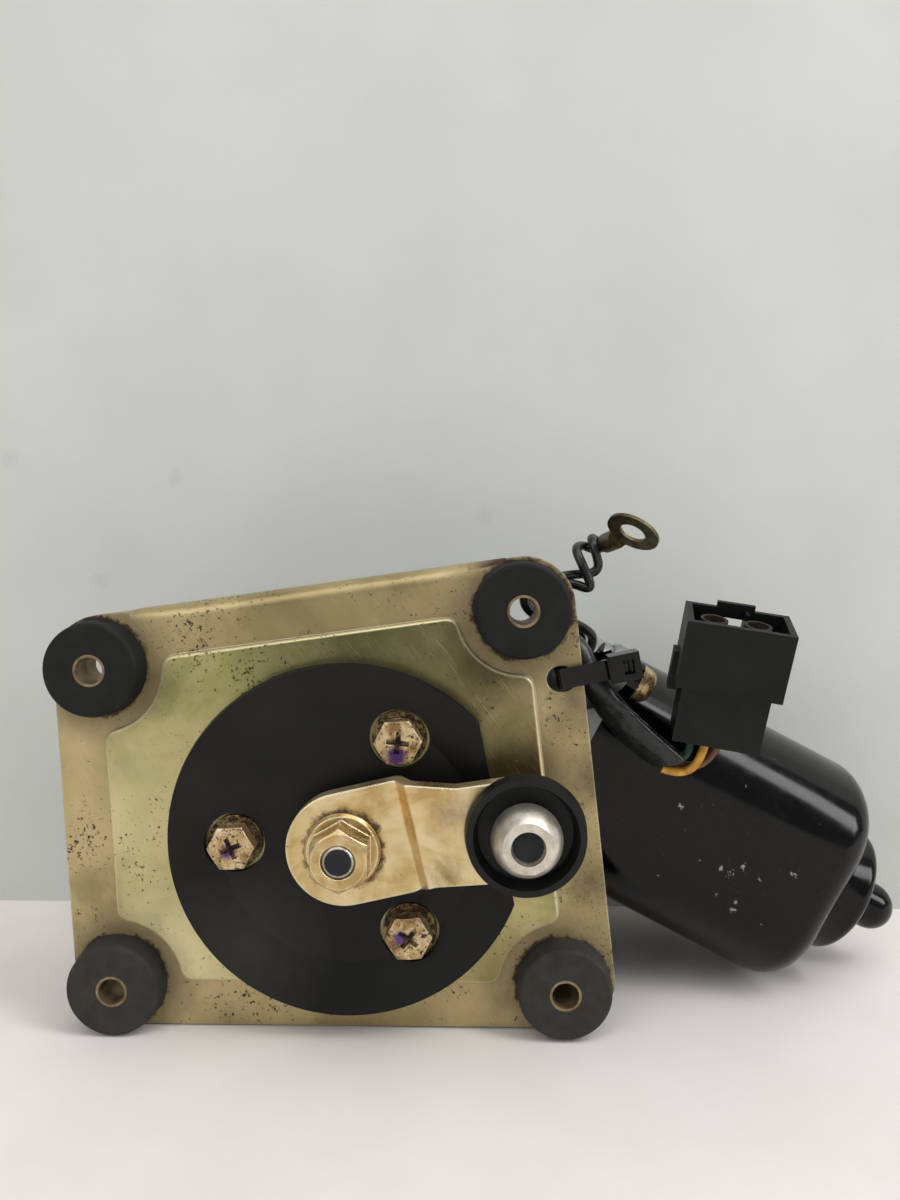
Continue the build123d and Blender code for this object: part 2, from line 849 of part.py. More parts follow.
with BuildPart() as housing_cover:
    with BuildSketch(front.offset(-cover_seat)):
        Circle(pot_radius)
        with Locations(*cover_spots()):
            Circle(cover_lug_radius)
    extrude(amount=-cover_thick)
    with BuildSketch(front.offset(-cover_seat)):
        Circle(cover_dome_radius)
    extrude(amount=-(cover_dome + cover_thick), taper=10)
    with BuildSketch(front.offset(-cover_seat)):
        Circle(cover_dome_radius - cover_thick)
    extrude(amount=-cover_dome, taper=10, mode=Mode.SUBTRACT)
    with BuildSketch(front.offset(-cover_seat)):
        with Locations(*cover_spots()):
            Circle(cover_screw_radius + clearance_hole)
    extrude(amount=-cover_thick, mode=Mode.SUBTRACT)
save(housing_cover, "housing_cover")

with BuildPart() as cover_screws:
    with BuildSketch(front.offset(-(cover_seat + cover_thick))):
        with Locations(*cover_spots()):
            Circle(cover_head_radius)
    extrude(amount=-cover_head_height, taper=12)
    with BuildSketch(front.offset(-(cover_seat + cover_thick + cover_head_height))):
        with Locations(*cover_spots()):
            Rectangle(cover_cross_length, cover_cross_width)
            Rectangle(cover_cross_width, cover_cross_length)
    extrude(amount=cover_head_height / 2, mode=Mode.SUBTRACT)
    with BuildSketch(front.offset(-(cover_seat + cover_thick))):
        with Locations(*cover_spots()):
            Circle(cover_screw_radius)
    extrude(amount=cover_screw_depth)
save(cover_screws, "cover_screws")

with BuildPart() as contact_board:
    with BuildSketch(front.offset(-(cover_seat + cover_dome))):
        Circle(contact_board_radius)
    extrude(amount=contact_board_thick)
save(contact_board, "contact_board")

board_face = cover_seat + cover_dome - contact_board_thick
disc_face = wheel_back + park_disc_thick
with BuildPart() as park_contacts:
    for level in contact_levels:
        side = Plane(
            origin=front.origin + Vector(0, 0, level), x_dir=(1, 0, 0), z_dir=(0, 0, 1)
        )
        with BuildSketch(side):
            with BuildLine():
                Polyline(
                    (-contact_reach, board_face - contact_leaf / 2),
                    (-contact_reach / 2, board_face - contact_leaf / 2),
                    (0, disc_face + contact_gap + contact_leaf / 2),
                    (contact_reach / 4, disc_face + contact_gap + 3 * contact_leaf),
                )
                offset(amount=contact_leaf / 2, side=Side.BOTH)
            make_face()
        extrude(amount=contact_width)
save(park_contacts, "park_contacts")

# Yoke
with BuildPart() as yoke:
    with BuildSketch(motor.offset(joint_at)):
        double_d(yoke_wide, yoke_deep)
    extrude(amount=yoke_end - joint_at)
    fillet(yoke.faces().sort_by(axis_of(motor))[-1].edges(), yoke_end_round)
    with BuildSketch(motor.offset(yoke_end - yoke_wall)):
        Circle(end_step_radius)
    extrude(amount=end_step_length + yoke_wall)
    fillet(yoke.faces().sort_by(axis_of(motor))[-1].edges(), end_step_round)
    with BuildSketch(motor.offset(joint_at)):
        ear_shapes()
    extrude(amount=ear_thick)
    with BuildSketch(motor.offset(joint_at)):
        double_d(yoke_wide - 2 * yoke_wall, yoke_deep - 2 * yoke_wall)
    extrude(amount=yoke_end - yoke_wall - joint_at, mode=Mode.SUBTRACT)
    with BuildSketch(motor.offset(joint_at)):
        Circle(end_step_radius - yoke_wall)
    extrude(amount=end_wall - joint_at, mode=Mode.SUBTRACT)
    with BuildSketch(motor.offset(joint_at)):
        Circle(cap_neck)
    extrude(amount=end_wall + yoke_wall - joint_at, mode=Mode.SUBTRACT)
    with BuildSketch(motor.offset(joint_at)):
        with ear_spots():
            Circle(ear_screw_radius + clearance_hole)
    extrude(amount=ear_thick, mode=Mode.SUBTRACT)
save(yoke, "yoke")

with BuildPart() as end_cap:
    with BuildSketch(profile_of(motor)):
        with BuildLine():
            Polyline(
                (0, end_wall), (cap_neck, end_wall), (cap_neck, end_wall + yoke_wall),
                (cap_radius, end_wall + yoke_wall),
                (cap_radius, end_wall + yoke_wall + cap_reach - cap_radius),
            )
            CenterArc((0, end_wall + yoke_wall + cap_reach - cap_radius), cap_radius, 0, 90)
            Line(
                (0, end_wall + yoke_wall + cap_reach), (0, end_wall)
            )
        make_face()
    revolve(axis=axis_of(motor))
save(end_cap, "end_cap")

with BuildPart() as yoke_screw_washers:
    with BuildSketch(motor.offset(joint_at + ear_thick)):
        with ear_spots():
            Circle(ear_washer_radius)
            Circle(ear_screw_radius + clearance_hole, mode=Mode.SUBTRACT)
    extrude(amount=ear_washer_thick)
save(yoke_screw_washers, "yoke_screw_washers")

ear_head_seat = joint_at + ear_thick + ear_washer_thick
with BuildPart() as yoke_screws:
    with BuildSketch(motor.offset(ear_head_seat)):
        with ear_spots():
            Circle(ear_head_radius)
    extrude(amount=ear_head_height)
    fillet(yoke_screws.faces().group_by(axis_of(motor))[-1].edges(), ear_head_round)
    with BuildSketch(motor.offset(ear_head_seat + ear_head_height)):
        with ear_spots():
            Rectangle(ear_cross_length, cross_width)
            Rectangle(cross_width, ear_cross_length)
    extrude(amount=-ear_cross_depth, mode=Mode.SUBTRACT)
    with BuildSketch(motor.offset(ear_head_seat)):
        with ear_spots():
            Circle(ear_screw_radius)
    extrude(amount=-ear_screw_length)
save(yoke_screws, "yoke_screws")

# Bearing at the yoke's closed end, and the dished ring that holds it
with BuildPart() as yoke_bearing:
    with BuildSketch(motor.offset(end_wall)):
        Circle(yoke_bearing_radius)
        Circle(motor_shaft_radius + running_gap, mode=Mode.SUBTRACT)
    extrude(amount=-yoke_bearing_length)
save(yoke_bearing, "yoke_bearing")

with BuildPart() as bearing_retainer:
    with BuildSketch(motor.offset(end_wall - yoke_bearing_length)):
        Circle(end_step_radius - yoke_wall)
        Circle(yoke_bearing_radius, mode=Mode.SUBTRACT)
    extrude(amount=retainer_thick + retainer_step)
    with BuildSketch(motor.offset(end_wall - yoke_bearing_length + retainer_thick)):
        Circle(end_step_radius - yoke_wall - retainer_thick)
        Circle(yoke_bearing_radius + retainer_thick, mode=Mode.SUBTRACT)
    extrude(amount=retainer_step, mode=Mode.SUBTRACT)
save(bearing_retainer, "bearing_retainer")

# Field magnets on the yoke's two round sides
with BuildPart() as magnets:
    with BuildSketch(motor.offset(magnet_from)):
        Circle(yoke_wide / 2 - yoke_wall)
        Circle(magnet_inner, mode=Mode.SUBTRACT)
        opening_half = yoke_wide * tan(radians(90 - magnet_half_angle))
        Polygon(
            (0, 0), (yoke_wide, opening_half), (yoke_wide, -opening_half),
            align=None, mode=Mode.SUBTRACT,
        )
        Polygon(
            (0, 0), (-yoke_wide, -opening_half), (-yoke_wide, opening_half),
            align=None, mode=Mode.SUBTRACT,
        )
    extrude(amount=magnet_length)
save(magnets, "magnets")

# Brush gear: a moulded plate with three boxes, the brushes and their folded springs
with BuildPart() as brush_holder:
    with BuildSketch(motor.offset(brush_plate_from)):
        double_d(
            yoke_wide - 2 * (yoke_wall + brush_plate_gap),
            yoke_deep - 2 * (yoke_wall + brush_plate_gap),
        )
        Circle(commutator_radius + brush_plate_room, mode=Mode.SUBTRACT)
    extrude(amount=brush_plate_thick)
    for angle in brush_angles.values():
        box_frame = turned(motor.offset(brush_plate_from + brush_plate_thick), angle)
        with BuildSketch(box_frame):
            with Locations((brush_box_from + brush_box_length / 2, 0)):
                Rectangle(brush_box_length, brush_box_wide)
        extrude(amount=brush_box_high)
        with BuildSketch(box_frame):
            with Locations((brush_box_from + (brush_box_length - brush_box_wall) / 2, 0)):
                Rectangle(
                    brush_box_length - brush_box_wall, brush_box_wide - 2 * brush_box_wall
                )
        extrude(amount=brush_box_high - brush_box_wall, mode=Mode.SUBTRACT)
save(brush_holder, "brush_holder")

brush_wide = brush_box_wide - 2 * (brush_box_wall + brush_gap)
brush_high = brush_box_high - brush_box_wall - 2 * brush_gap
brush_from = commutator_radius + brush_gap
with BuildPart() as brushes:
    for angle in brush_angles.values():
        brush_frame = motor.offset(brush_plate_from + brush_plate_thick + brush_gap)
        with BuildSketch(turned(brush_frame, angle)):
            with Locations((brush_from + (brush_length - brush_crown) / 2, 0)):
                Rectangle(brush_length + brush_crown, brush_wide)
        extrude(amount=brush_high)
    with BuildSketch(motor.offset(brush_plate_from)):
        Circle(brush_from)
    extrude(amount=brush_plate_thick + brush_box_high, mode=Mode.SUBTRACT)
save(brushes, "brushes")

spring_from = brush_from + brush_length + spring_thick
spring_to = brush_box_from + brush_box_length - brush_box_wall - spring_thick
with BuildPart() as brush_springs:
    for angle in brush_angles.values():
        brush_frame = motor.offset(brush_plate_from + brush_plate_thick + brush_gap)
        with BuildSketch(turned(brush_frame, angle)):
            with BuildLine():
                Polyline([
                    (
                        spring_from + (spring_to - spring_from) * k / spring_folds,
                        spring_swing * (-1) ** k,
                    )
                    for k in range(spring_folds + 1)
                ])
                offset(amount=spring_thick / 2, side=Side.BOTH)
            make_face()
        extrude(amount=brush_high)
save(brush_springs, "brush_springs")

# Output shaft: a taper and a thread at the front, a groove for the circlip
with BuildPart() as output_shaft:
    with BuildSketch(profile_of(front)):
        Polygon(
            (0, -shaft_back), (shaft_radius - shaft_tip_chamfer, -shaft_back),
            (shaft_radius, -shaft_back + shaft_tip_chamfer),
            (shaft_radius, circlip_seat), (shaft_radius - groove_depth, circlip_seat),
            (shaft_radius - groove_depth, circlip_seat + circlip_thick),
            (shaft_radius, circlip_seat + circlip_thick), (shaft_radius, crank_bottom),
            (shaft_taper_narrow, crank_top), (stud_radius, crank_top),
            (stud_radius, crank_top + nut_height - shaft_tip_chamfer),
            (stud_radius - shaft_tip_chamfer, crank_top + nut_height),
            (0, crank_top + nut_height),
            align=None,
        )
    revolve(axis=axis_of(front))
save(output_shaft, "output_shaft")

with BuildPart() as shaft_washer:
    with BuildSketch(front.offset(boss_front + shim_play)):
        Circle(shim_radius)
        Circle(shaft_radius, mode=Mode.SUBTRACT)
    extrude(amount=shim_thick)
save(shaft_washer, "shaft_washer")

with BuildPart() as shaft_circlip:
    with BuildSketch(front.offset(circlip_seat)):
        Circle(circlip_radius)
        Circle(shaft_radius - groove_depth, mode=Mode.SUBTRACT)
        with Locations((0, -circlip_radius)):
            Rectangle(1.3 * shaft_radius, 2 * circlip_radius - shaft_radius, mode=Mode.SUBTRACT)
    extrude(amount=circlip_thick)
save(shaft_circlip, "shaft_circlip")

# Worm wheel: 51 teeth that lean with the worm's thread, a web with holes and a hub
tooth_lean = degrees(wheel_width * tan(radians(lead_angle)) / wheel_pitch_radius)
tooth_step = 360 / wheel_teeth
tooth_half = tooth_share * worm_lead / 2
root_radius = wheel_pitch_radius - wheel_dedendum
tip_radius = wheel_pitch_radius + wheel_addendum
root_half = tooth_half + wheel_dedendum * flank_slope
tip_half = tooth_half - wheel_addendum * flank_slope
tooth_first = 90 - motor_slope + (tooth_step - tooth_lean) / 2
teeth_plane = turned(front.offset(-wheel_back), tooth_first)
with BuildSketch(teeth_plane) as teeth:
    Circle(root_radius)
    with PolarLocations(0, wheel_teeth):
        Polygon(
            (root_radius - join, -root_half), (tip_radius, -tip_half),
            (tip_radius, tip_half), (root_radius - join, root_half),
            align=None,
        )
with BuildPart() as worm_wheel:
    add(Solid.extrude_linear_with_rotation(
        teeth.sketch.face(), teeth_plane.origin, front.z_dir * wheel_width, tooth_lean
    ))
    with BuildSketch(front.offset(-(wheel_front - wheel_hub_length))):
        Circle(wheel_hub_radius)
    extrude(amount=-(wheel_hub_length + wheel_width))
    with BuildSketch(front.offset(-wheel_front)):
        Circle(wheel_rim_radius)
        Circle(wheel_hub_radius, mode=Mode.SUBTRACT)
        with PolarLocations((wheel_rim_radius + wheel_hub_radius) / 2, wheel_ribs):
            Rectangle(wheel_rim_radius, wheel_rib_thick, mode=Mode.SUBTRACT)
    extrude(amount=-(wheel_width - wheel_web), mode=Mode.SUBTRACT)
    with BuildSketch(front.offset(-(wheel_front - wheel_hub_length))):
        Circle(shaft_radius)
    extrude(amount=-(wheel_hub_length + wheel_width), mode=Mode.SUBTRACT)
save(worm_wheel, "worm_wheel")

with BuildPart() as park_disc:
    with BuildSketch(front.offset(-wheel_back)):
        Circle(park_disc_radius)
        Circle(shaft_radius, mode=Mode.SUBTRACT)
        with Locations((park_disc_radius - park_notch / 2, 0)):
            Rectangle(park_notch, 2 * park_notch, mode=Mode.SUBTRACT)
    extrude(amount=-park_disc_thick)
save(park_disc, "park_disc")

# Crank: cut to its side profile with the joggle, then to its outline
arm_frame = turned(crank_frame, crank_lean)
ball_along = crank_length * cos(radians(crank_lean))
ball_below = crank_length * sin(radians(crank_lean))
with BuildPart() as crank_arm:
    with BuildSketch(profile_of(arm_frame)):
        Polygon(
            (-crank_nut_end, crank_bottom), (step_from + joggle_lag, crank_bottom),
            (step_to + joggle_lag, crank_bottom + crank_step),
            (crank_length + crank_ball_end, crank_bottom + crank_step),
            (crank_length + crank_ball_end, crank_top + crank_step),
            (step_to, crank_top + crank_step), (step_from, crank_top),
            (-crank_nut_end, crank_top),
            align=None,
        )
    extrude(amount=crank_nut_end + crank_ball_end, both=True)
    fillet(
        crank_arm.edges().filter_by(Axis(front.origin, profile_of(arm_frame).z_dir)).group_by(
            Axis(front.origin, arm_frame.x_dir))[1:-1],
        joggle_round,
    )
    with BuildSketch(arm_frame.offset(crank_bottom)) as arm_shape:
        Polygon(
            (0, crank_nut_end), (step_from, crank_nut_end), (crank_waist_at, crank_waist),
            (ball_along, crank_ball_end - ball_below), (ball_along, -crank_ball_end - ball_below),
            (crank_neck_at, -crank_neck), (crank_neck_from, -crank_nut_end), (0, -crank_nut_end),
            align=None,
        )
        fillet(arm_shape.vertices().sort_by(Axis.X)[2:-2], crank_flank_round)
        Circle(crank_nut_end)
        with Locations((ball_along, -ball_below)):
            Circle(crank_ball_end)
    extrude(amount=crank_thick + crank_step, mode=Mode.INTERSECT)
    with BuildSketch(profile_of(front)):
        Polygon(
            (0, crank_bottom), (shaft_radius, crank_bottom), (shaft_taper_narrow, crank_top),
            (0, crank_top),
            align=None,
        )
    revolve(axis=axis_of(front), mode=Mode.SUBTRACT)
    with BuildSketch(crank_frame.offset(crank_bottom)):
        with Locations((crank_length, 0)):
            Circle(pin_radius)
    extrude(amount=crank_thick + crank_step, mode=Mode.SUBTRACT)
save(crank_arm, "crank_arm")

with BuildPart() as crank_nut:
    with BuildSketch(front.offset(crank_top)):
        Circle(nut_flange_radius)
    extrude(amount=nut_flange_thick)
    with BuildSketch(front.offset(crank_top)):
        RegularPolygon(nut_flats / 2, 6, major_radius=False, rotation=30)
    extrude(amount=nut_height)
    with BuildSketch(profile_of(front)):
        Polygon(
            (0, crank_top), (nut_flange_radius, crank_top),
            (nut_flange_radius, crank_top + nut_flange_thick / 2),
            (nut_flats / sqrt(3), crank_top + nut_skirt_rise),
            (nut_flats / sqrt(3), crank_top + nut_height - nut_bevel),
            (nut_top_radius, crank_top + nut_height), (0, crank_top + nut_height),
            align=None,
        )
    revolve(axis=axis_of(front), mode=Mode.INTERSECT)
    with BuildSketch(front.offset(crank_top)):
        Circle(stud_radius)
    extrude(amount=nut_height, mode=Mode.SUBTRACT)
save(crank_nut, "crank_nut")

# Ball pin, ball and the rubber boot under the ball
ball_frame = Plane(
    origin=crank_frame.from_local_coords((crank_length, 0, ball_height)),
    x_dir=crank_frame.x_dir, z_dir=crank_frame.z_dir,
)
arm_back = crank_bottom + crank_step - ball_height
with BuildPart() as ball_pin:
    with BuildSketch(profile_of(ball_frame)):
        Polygon(
            (0, arm_back - pin_head_thick),
            (pin_head_radius - pin_head_chamfer, arm_back - pin_head_thick),
            (pin_head_radius, arm_back), (pin_radius, arm_back),
            (pin_radius, ball_flat - pin_below_flat - pin_chamfer),
            (pin_radius - pin_chamfer, ball_flat - pin_below_flat), (0, ball_flat - pin_below_flat),
            align=None,
        )
    revolve(axis=axis_of(ball_frame))
save(ball_pin, "ball_pin")

with BuildPart() as ball:
    with BuildSketch(profile_of(ball_frame)):
        Circle(ball_radius)
        with Locations((-ball_radius + pin_radius, 0)):
            Rectangle(2 * ball_radius, 2 * ball_radius, mode=Mode.SUBTRACT)
        Rectangle(2 * ball_radius, 2 * ball_flat, mode=Mode.INTERSECT)
    revolve(axis=axis_of(ball_frame))
save(ball, "ball")

with BuildPart() as ball_boot:
    with BuildSketch(profile_of(ball_frame)):
        Polygon(
            (boot_hole, -ball_flat), (boot_radius - boot_wall, -ball_flat),
            (boot_radius, -ball_flat + boot_wall),
            (boot_lip_radius, -ball_flat + boot_height),
            (boot_lip_radius - boot_wall, -ball_flat + boot_height),
            (boot_radius - 2 * boot_wall, -ball_flat + boot_floor),
            (boot_hole, -ball_flat + boot_floor),
            align=None,
        )
    revolve(axis=axis_of(ball_frame))
save(ball_boot, "ball_boot")

# Armature: shaft with the worm cut on it, laminated core, windings and commutator
thread_half = thread_share * worm_lead / 2
worm_root = worm_pitch_radius - worm_dedendum
worm_start = Plane(
    origin=motor.origin - along_motor * (worm_turns / 2) * worm_lead,
    x_dir=-off_motor, z_dir=along_motor,
)
thread_line = Helix(
    pitch=worm_lead, height=worm_turns * worm_lead, radius=worm_pitch_radius
).moved(worm_start.location)
with BuildPart() as armature_shaft:
    with BuildSketch(motor.offset(end_bearing_from)):
        Circle(motor_shaft_radius)
    extrude(amount=end_wall - end_play - end_bearing_from)
    with BuildSketch(motor.offset(-(worm_turns + worm_run_out) / 2 * worm_lead)):
        Circle(worm_root)
    extrude(amount=(worm_turns + worm_run_out) * worm_lead)
    with BuildSketch(Plane(
        origin=thread_line @ 0, x_dir=worm_start.x_dir, z_dir=thread_line % 0
    )):
        Polygon(
            (worm_root - worm_pitch_radius - thread_root_in, -thread_half - worm_dedendum * flank_slope),
            (worm_addendum, -thread_half + worm_addendum * flank_slope),
            (worm_addendum, thread_half - worm_addendum * flank_slope),
            (worm_root - worm_pitch_radius - thread_root_in, thread_half + worm_dedendum * flank_slope),
            align=None,
        )
    sweep(path=thread_line, is_frenet=True)
save(armature_shaft, "armature_shaft")

with BuildPart() as armature_core:
    with BuildSketch(motor.offset(armature_from)):
        Circle(armature_radius)
        Circle(motor_shaft_radius, mode=Mode.SUBTRACT)
        with PolarLocations(slot_pocket_at, armature_slots):
            Circle(slot_pocket_radius, mode=Mode.SUBTRACT)
        with PolarLocations((slot_pocket_at + armature_radius) / 2 + join, armature_slots):
            Rectangle(
                armature_radius - slot_pocket_at + 2 * join, slot_mouth, mode=Mode.SUBTRACT
            )
    extrude(amount=armature_length)
save(armature_core, "armature_core")

with BuildPart() as armature_windings:
    for start in (armature_from - winding_length, armature_from + armature_length):
        with BuildSketch(motor.offset(start)):
            Circle(winding_radius)
            Circle(motor_shaft_radius, mode=Mode.SUBTRACT)
        extrude(amount=winding_length)
    rims = armature_windings.edges().filter_by(
        lambda e: e.geom_type == GeomType.CIRCLE and e.radius > winding_radius / 2
    )
    fillet(rims, winding_round)
    with BuildSketch(motor.offset(armature_from)):
        with PolarLocations(slot_pocket_at, armature_slots):
            Circle(slot_pocket_radius - wire_gap)
    extrude(amount=armature_length)
save(armature_windings, "armature_windings")

with BuildPart() as commutator:
    with BuildSketch(motor.offset(commutator_from)):
        Circle(commutator_radius)
        Circle(motor_shaft_radius, mode=Mode.SUBTRACT)
        with PolarLocations(commutator_radius, armature_slots):
            Rectangle(2 * bar_gap, bar_gap, mode=Mode.SUBTRACT)
    extrude(amount=commutator_length)
save(commutator, "commutator")

# Grommet in the gear housing, and the vinyl sleeve of the loom that leaves it
with BuildPart() as harness_grommet:
    with BuildSketch(profile_of(grommet_face)):
        Polygon(
            (0, -grommet_neck_length), (grommet_neck, -grommet_neck_length),
            (grommet_neck, 0), (grommet_flange, 0), (grommet_flange, grommet_flange_thick),
            (grommet_nose, grommet_flange_thick + grommet_nose_step),
            (grommet_nose, grommet_flange_thick + grommet_nose_length),
            (0, grommet_flange_thick + grommet_nose_length),
            align=None,
        )
    revolve(axis=axis_of(grommet_face))
save(harness_grommet, "harness_grommet")

loom_start = grommet_face.offset(grommet_flange_thick + grommet_nose_length)
loom_points = [loom_start.origin, loom_start.offset(grommet_exit).origin]
loom_points += [at(*point) for point in loom_route]
loom_radii = bend_radii(loom_points)
with BuildPart() as harness_sleeve:
    with BuildLine() as loom_line:
        FilletPolyline(*loom_points, radius=loom_radii)
    with BuildSketch(Plane(origin=loom_line.line @ 0, z_dir=loom_line.line % 0)):
        Circle(loom_diameter / 2)
    sweep()
save(harness_sleeve, "harness_sleeve")

# Cable tie through the slot in the plate and round the sleeve
with BuildPart() as cable_tie:
    with BuildSketch(tie_frame):
        with BuildLine():
            FilletPolyline(*tie_loop, radius=tie_bend, close=True)
            offset(amount=tie_thick / 2)
        make_face()
        with BuildLine():
            FilletPolyline(*tie_loop, radius=tie_bend, close=True)
            offset(amount=-tie_thick / 2)
        make_face(mode=Mode.SUBTRACT)
    extrude(amount=tie_width / 2, both=True)
    head_frame = Plane(
        origin=tie_frame.from_local_coords((*tie_head_along, 0)),
        x_dir=tie_frame.x_dir, z_dir=(0, -1, 0),
    )
    with BuildSketch(head_frame):
        with Locations((tie_head[0] / 2, 0)):
            Rectangle(tie_head[0], tie_head[2])
    extrude(amount=tie_head[1])
    with BuildSketch(head_frame):
        with Locations((tie_window_at, 0)):
            Rectangle(*tie_window)
    extrude(amount=tie_head[1], mode=Mode.SUBTRACT)
save(cable_tie, "cable_tie")

# Connector: a shell with an open mouth over a narrower body
mouth = Plane(origin=at(*mouth_at), x_dir=mouth_across, z_dir=mouth_up)
with BuildPart() as connector_housing:
    with BuildSketch(mouth):
        Rectangle(shell_wide, shell_deep)
    extrude(amount=-shell_long)
    with BuildSketch(mouth.offset(-shell_long)):
        with Locations(body_shift):
            Rectangle(body_wide, body_deep)
    extrude(amount=shell_long - connector_long)
    with BuildSketch(mouth):
        with Locations((hood_at, (shell_deep - hood_deep) / 2)):
            Rectangle(hood_wide, hood_deep)
    extrude(amount=hood_rise)
    with BuildSketch(mouth.offset(-latch_from)):
        with Locations((-shell_wide / 2, latch_at)):
            Rectangle(2 * latch_out, latch_wide)
    extrude(amount=-latch_long)
    with BuildSketch(mouth):
        Rectangle(shell_wide - 2 * shell_wall, shell_deep - 2 * shell_wall)
        with Locations((divider_at, shell_deep / 2 - shell_wall)):
            Rectangle(divider_thick, 2 * divider_deep, mode=Mode.SUBTRACT)
    extrude(amount=-shell_cavity, mode=Mode.SUBTRACT)
    with BuildSketch(mouth.offset(-window_drop)):
        with Locations((window_at, shell_deep / 2)):
            Rectangle(window_wide, 3 * shell_wall)
    extrude(amount=-window_high, mode=Mode.SUBTRACT)
    with BuildSketch(mouth.offset(-connector_long)):
        with Locations(*terminal_spots):
            Circle(terminal_radius + wire_gap)
    extrude(amount=connector_long - shell_cavity, mode=Mode.SUBTRACT)
save(connector_housing, "connector_housing")

with BuildPart() as connector_terminals:
    with BuildSketch(mouth.offset(-terminal_below)):
        with Locations(*terminal_spots):
            Circle(terminal_radius)
            Circle(terminal_radius - terminal_wall, mode=Mode.SUBTRACT)
    extrude(amount=-terminal_long)
    with BuildSketch(mouth.offset(-terminal_below - terminal_long)):
        with Locations(*terminal_spots):
            Circle(terminal_radius)
    extrude(amount=-terminal_stem)
save(connector_terminals, "connector_terminals")

# The three wires between the sleeve's end and the connector
loom_end = Plane(origin=loom_line.line @ 1, x_dir=(0, 1, 0), z_dir=loom_line.line % 1)
connector_base = mouth.offset(-connector_long)
wire_radii = {}
for name, (start, bends, finish) in wire_routes.items():
    points = [loom_end.from_local_coords((*start, 0))]
    points += [at(*bend) for bend in bends]
    points += [connector_base.from_local_coords((*finish, 0))]
    wire_radii[name] = bend_radii(points)
    with BuildPart() as wire:
        with BuildLine() as wire_line:
            FilletPolyline(*points, radius=wire_radii[name])
        with BuildSketch(Plane(origin=wire_line.line @ 0, z_dir=wire_line.line % 0)):
            Circle(wire_diameter / 2)
        sweep()
    save(wire, name)

# Ring terminal with its crimped barrel, and the two earth leads that end in it
ring_frame = Plane(origin=at(*ring_at), x_dir=ring_along, z_dir=ring_faces)
barrel_frame = Plane(
    origin=ring_frame.from_local_coords((-barrel_from, 0, ring_thick / 2)),
    x_dir=ring_frame.z_dir, z_dir=-ring_frame.x_dir,
)
with BuildPart() as ring_terminal:
    with BuildSketch(ring_frame):
        Circle(ring_radius)
        with Locations((-barrel_from / 2, 0)):
            Rectangle(barrel_from + join, ring_neck)
        Circle(ring_hole, mode=Mode.SUBTRACT)
    extrude(amount=ring_thick)
    with BuildSketch(barrel_frame):
        Circle(barrel_radius)
    extrude(amount=barrel_length)
save(ring_terminal, "ring_terminal")

lead_end = barrel_frame.offset(barrel_length)
lead_radii = {}
earth_leads = {
    "earth_lead_upper": (earth_route_upper, (-(lead_diameter + wire_gap) / 2, 0)),
    "earth_lead_lower": (earth_route_lower, ((lead_diameter + wire_gap) / 2, 0)),
}
for name, (route, finish) in earth_leads.items():
    points = [at(*point) for point in route]
    points += [lead_end.from_local_coords((*finish, run)) for run in (barrel_exit, 0)]
    lead_radii[name] = bend_radii(points)
    with BuildPart() as lead:
        with BuildLine() as lead_line:
            FilletPolyline(*points, radius=lead_radii[name])
        with BuildSketch(Plane(origin=lead_line.line @ 0, z_dir=lead_line.line % 0)):
            Circle(lead_diameter / 2)
        sweep()
    save(lead, name)

for name, radii in {"harness_sleeve": loom_radii, **wire_radii, **lead_radii}.items():
    print(name, "bend radii", [round(radius, 1) for radius in radii])
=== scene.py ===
import json
import math
from functools import partial

import bmesh
import bpy
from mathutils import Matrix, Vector, noise


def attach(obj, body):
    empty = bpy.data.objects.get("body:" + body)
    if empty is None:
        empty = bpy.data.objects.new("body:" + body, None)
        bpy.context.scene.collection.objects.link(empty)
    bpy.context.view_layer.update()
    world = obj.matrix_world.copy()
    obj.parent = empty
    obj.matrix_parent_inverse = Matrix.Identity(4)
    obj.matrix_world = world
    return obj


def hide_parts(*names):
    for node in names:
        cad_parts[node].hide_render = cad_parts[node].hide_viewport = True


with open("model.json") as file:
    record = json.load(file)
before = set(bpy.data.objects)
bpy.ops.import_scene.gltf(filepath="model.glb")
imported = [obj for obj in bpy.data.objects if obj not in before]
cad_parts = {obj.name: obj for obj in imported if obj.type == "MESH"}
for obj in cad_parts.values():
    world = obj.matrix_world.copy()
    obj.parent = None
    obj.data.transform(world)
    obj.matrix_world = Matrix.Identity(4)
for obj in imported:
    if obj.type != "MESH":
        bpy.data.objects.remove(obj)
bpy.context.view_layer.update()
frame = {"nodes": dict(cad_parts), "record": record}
nodes = frame["nodes"]
print("frame loaded:", len(nodes), "CAD nodes")

# the crank shaft's centre on the plate's front face; places below are in mm from here
shaftCentre = Vector((-0.03858, -0.0194, 0.04985))


def place(x, y, z):
    return shaftCentre + Vector((x, y, z)) / 1000


def perMetre(size):
    # cells of this many mm in one metre, for a pattern's scale
    return 1000 / size


def linear(code):
    # an sRGB hex colour as linear RGBA
    parts = [int(code[i : i + 2], 16) / 255 for i in (1, 3, 5)]
    return [c / 12.92 if c <= 0.04045 else ((c + 0.055) / 1.055) ** 2.4 for c in parts] + [1]


def newObject(name, data):
    made = bpy.data.objects.new(name, data)
    bpy.context.scene.collection.objects.link(made)
    return made


def addNode(tree, kind, inputs=None, out=0, **settings):
    # a node with its settings, values and links, and the one of its outputs that is wanted
    node = tree.nodes.new(kind)
    for name, value in settings.items():
        setattr(node, name, value)
    for socket, value in (inputs or {}).items():
        if isinstance(value, bpy.types.NodeSocket):
            tree.links.new(value, node.inputs[socket])
        else:
            node.inputs[socket].default_value = value
    return node.outputs[out] if node.outputs else None


def between(low, high, start=0.0, end=1.0):
    # a Map Range node's inputs: what runs from low to high comes out from start to end
    return {"From Min": low, "From Max": high, "To Min": start, "To Max": end}


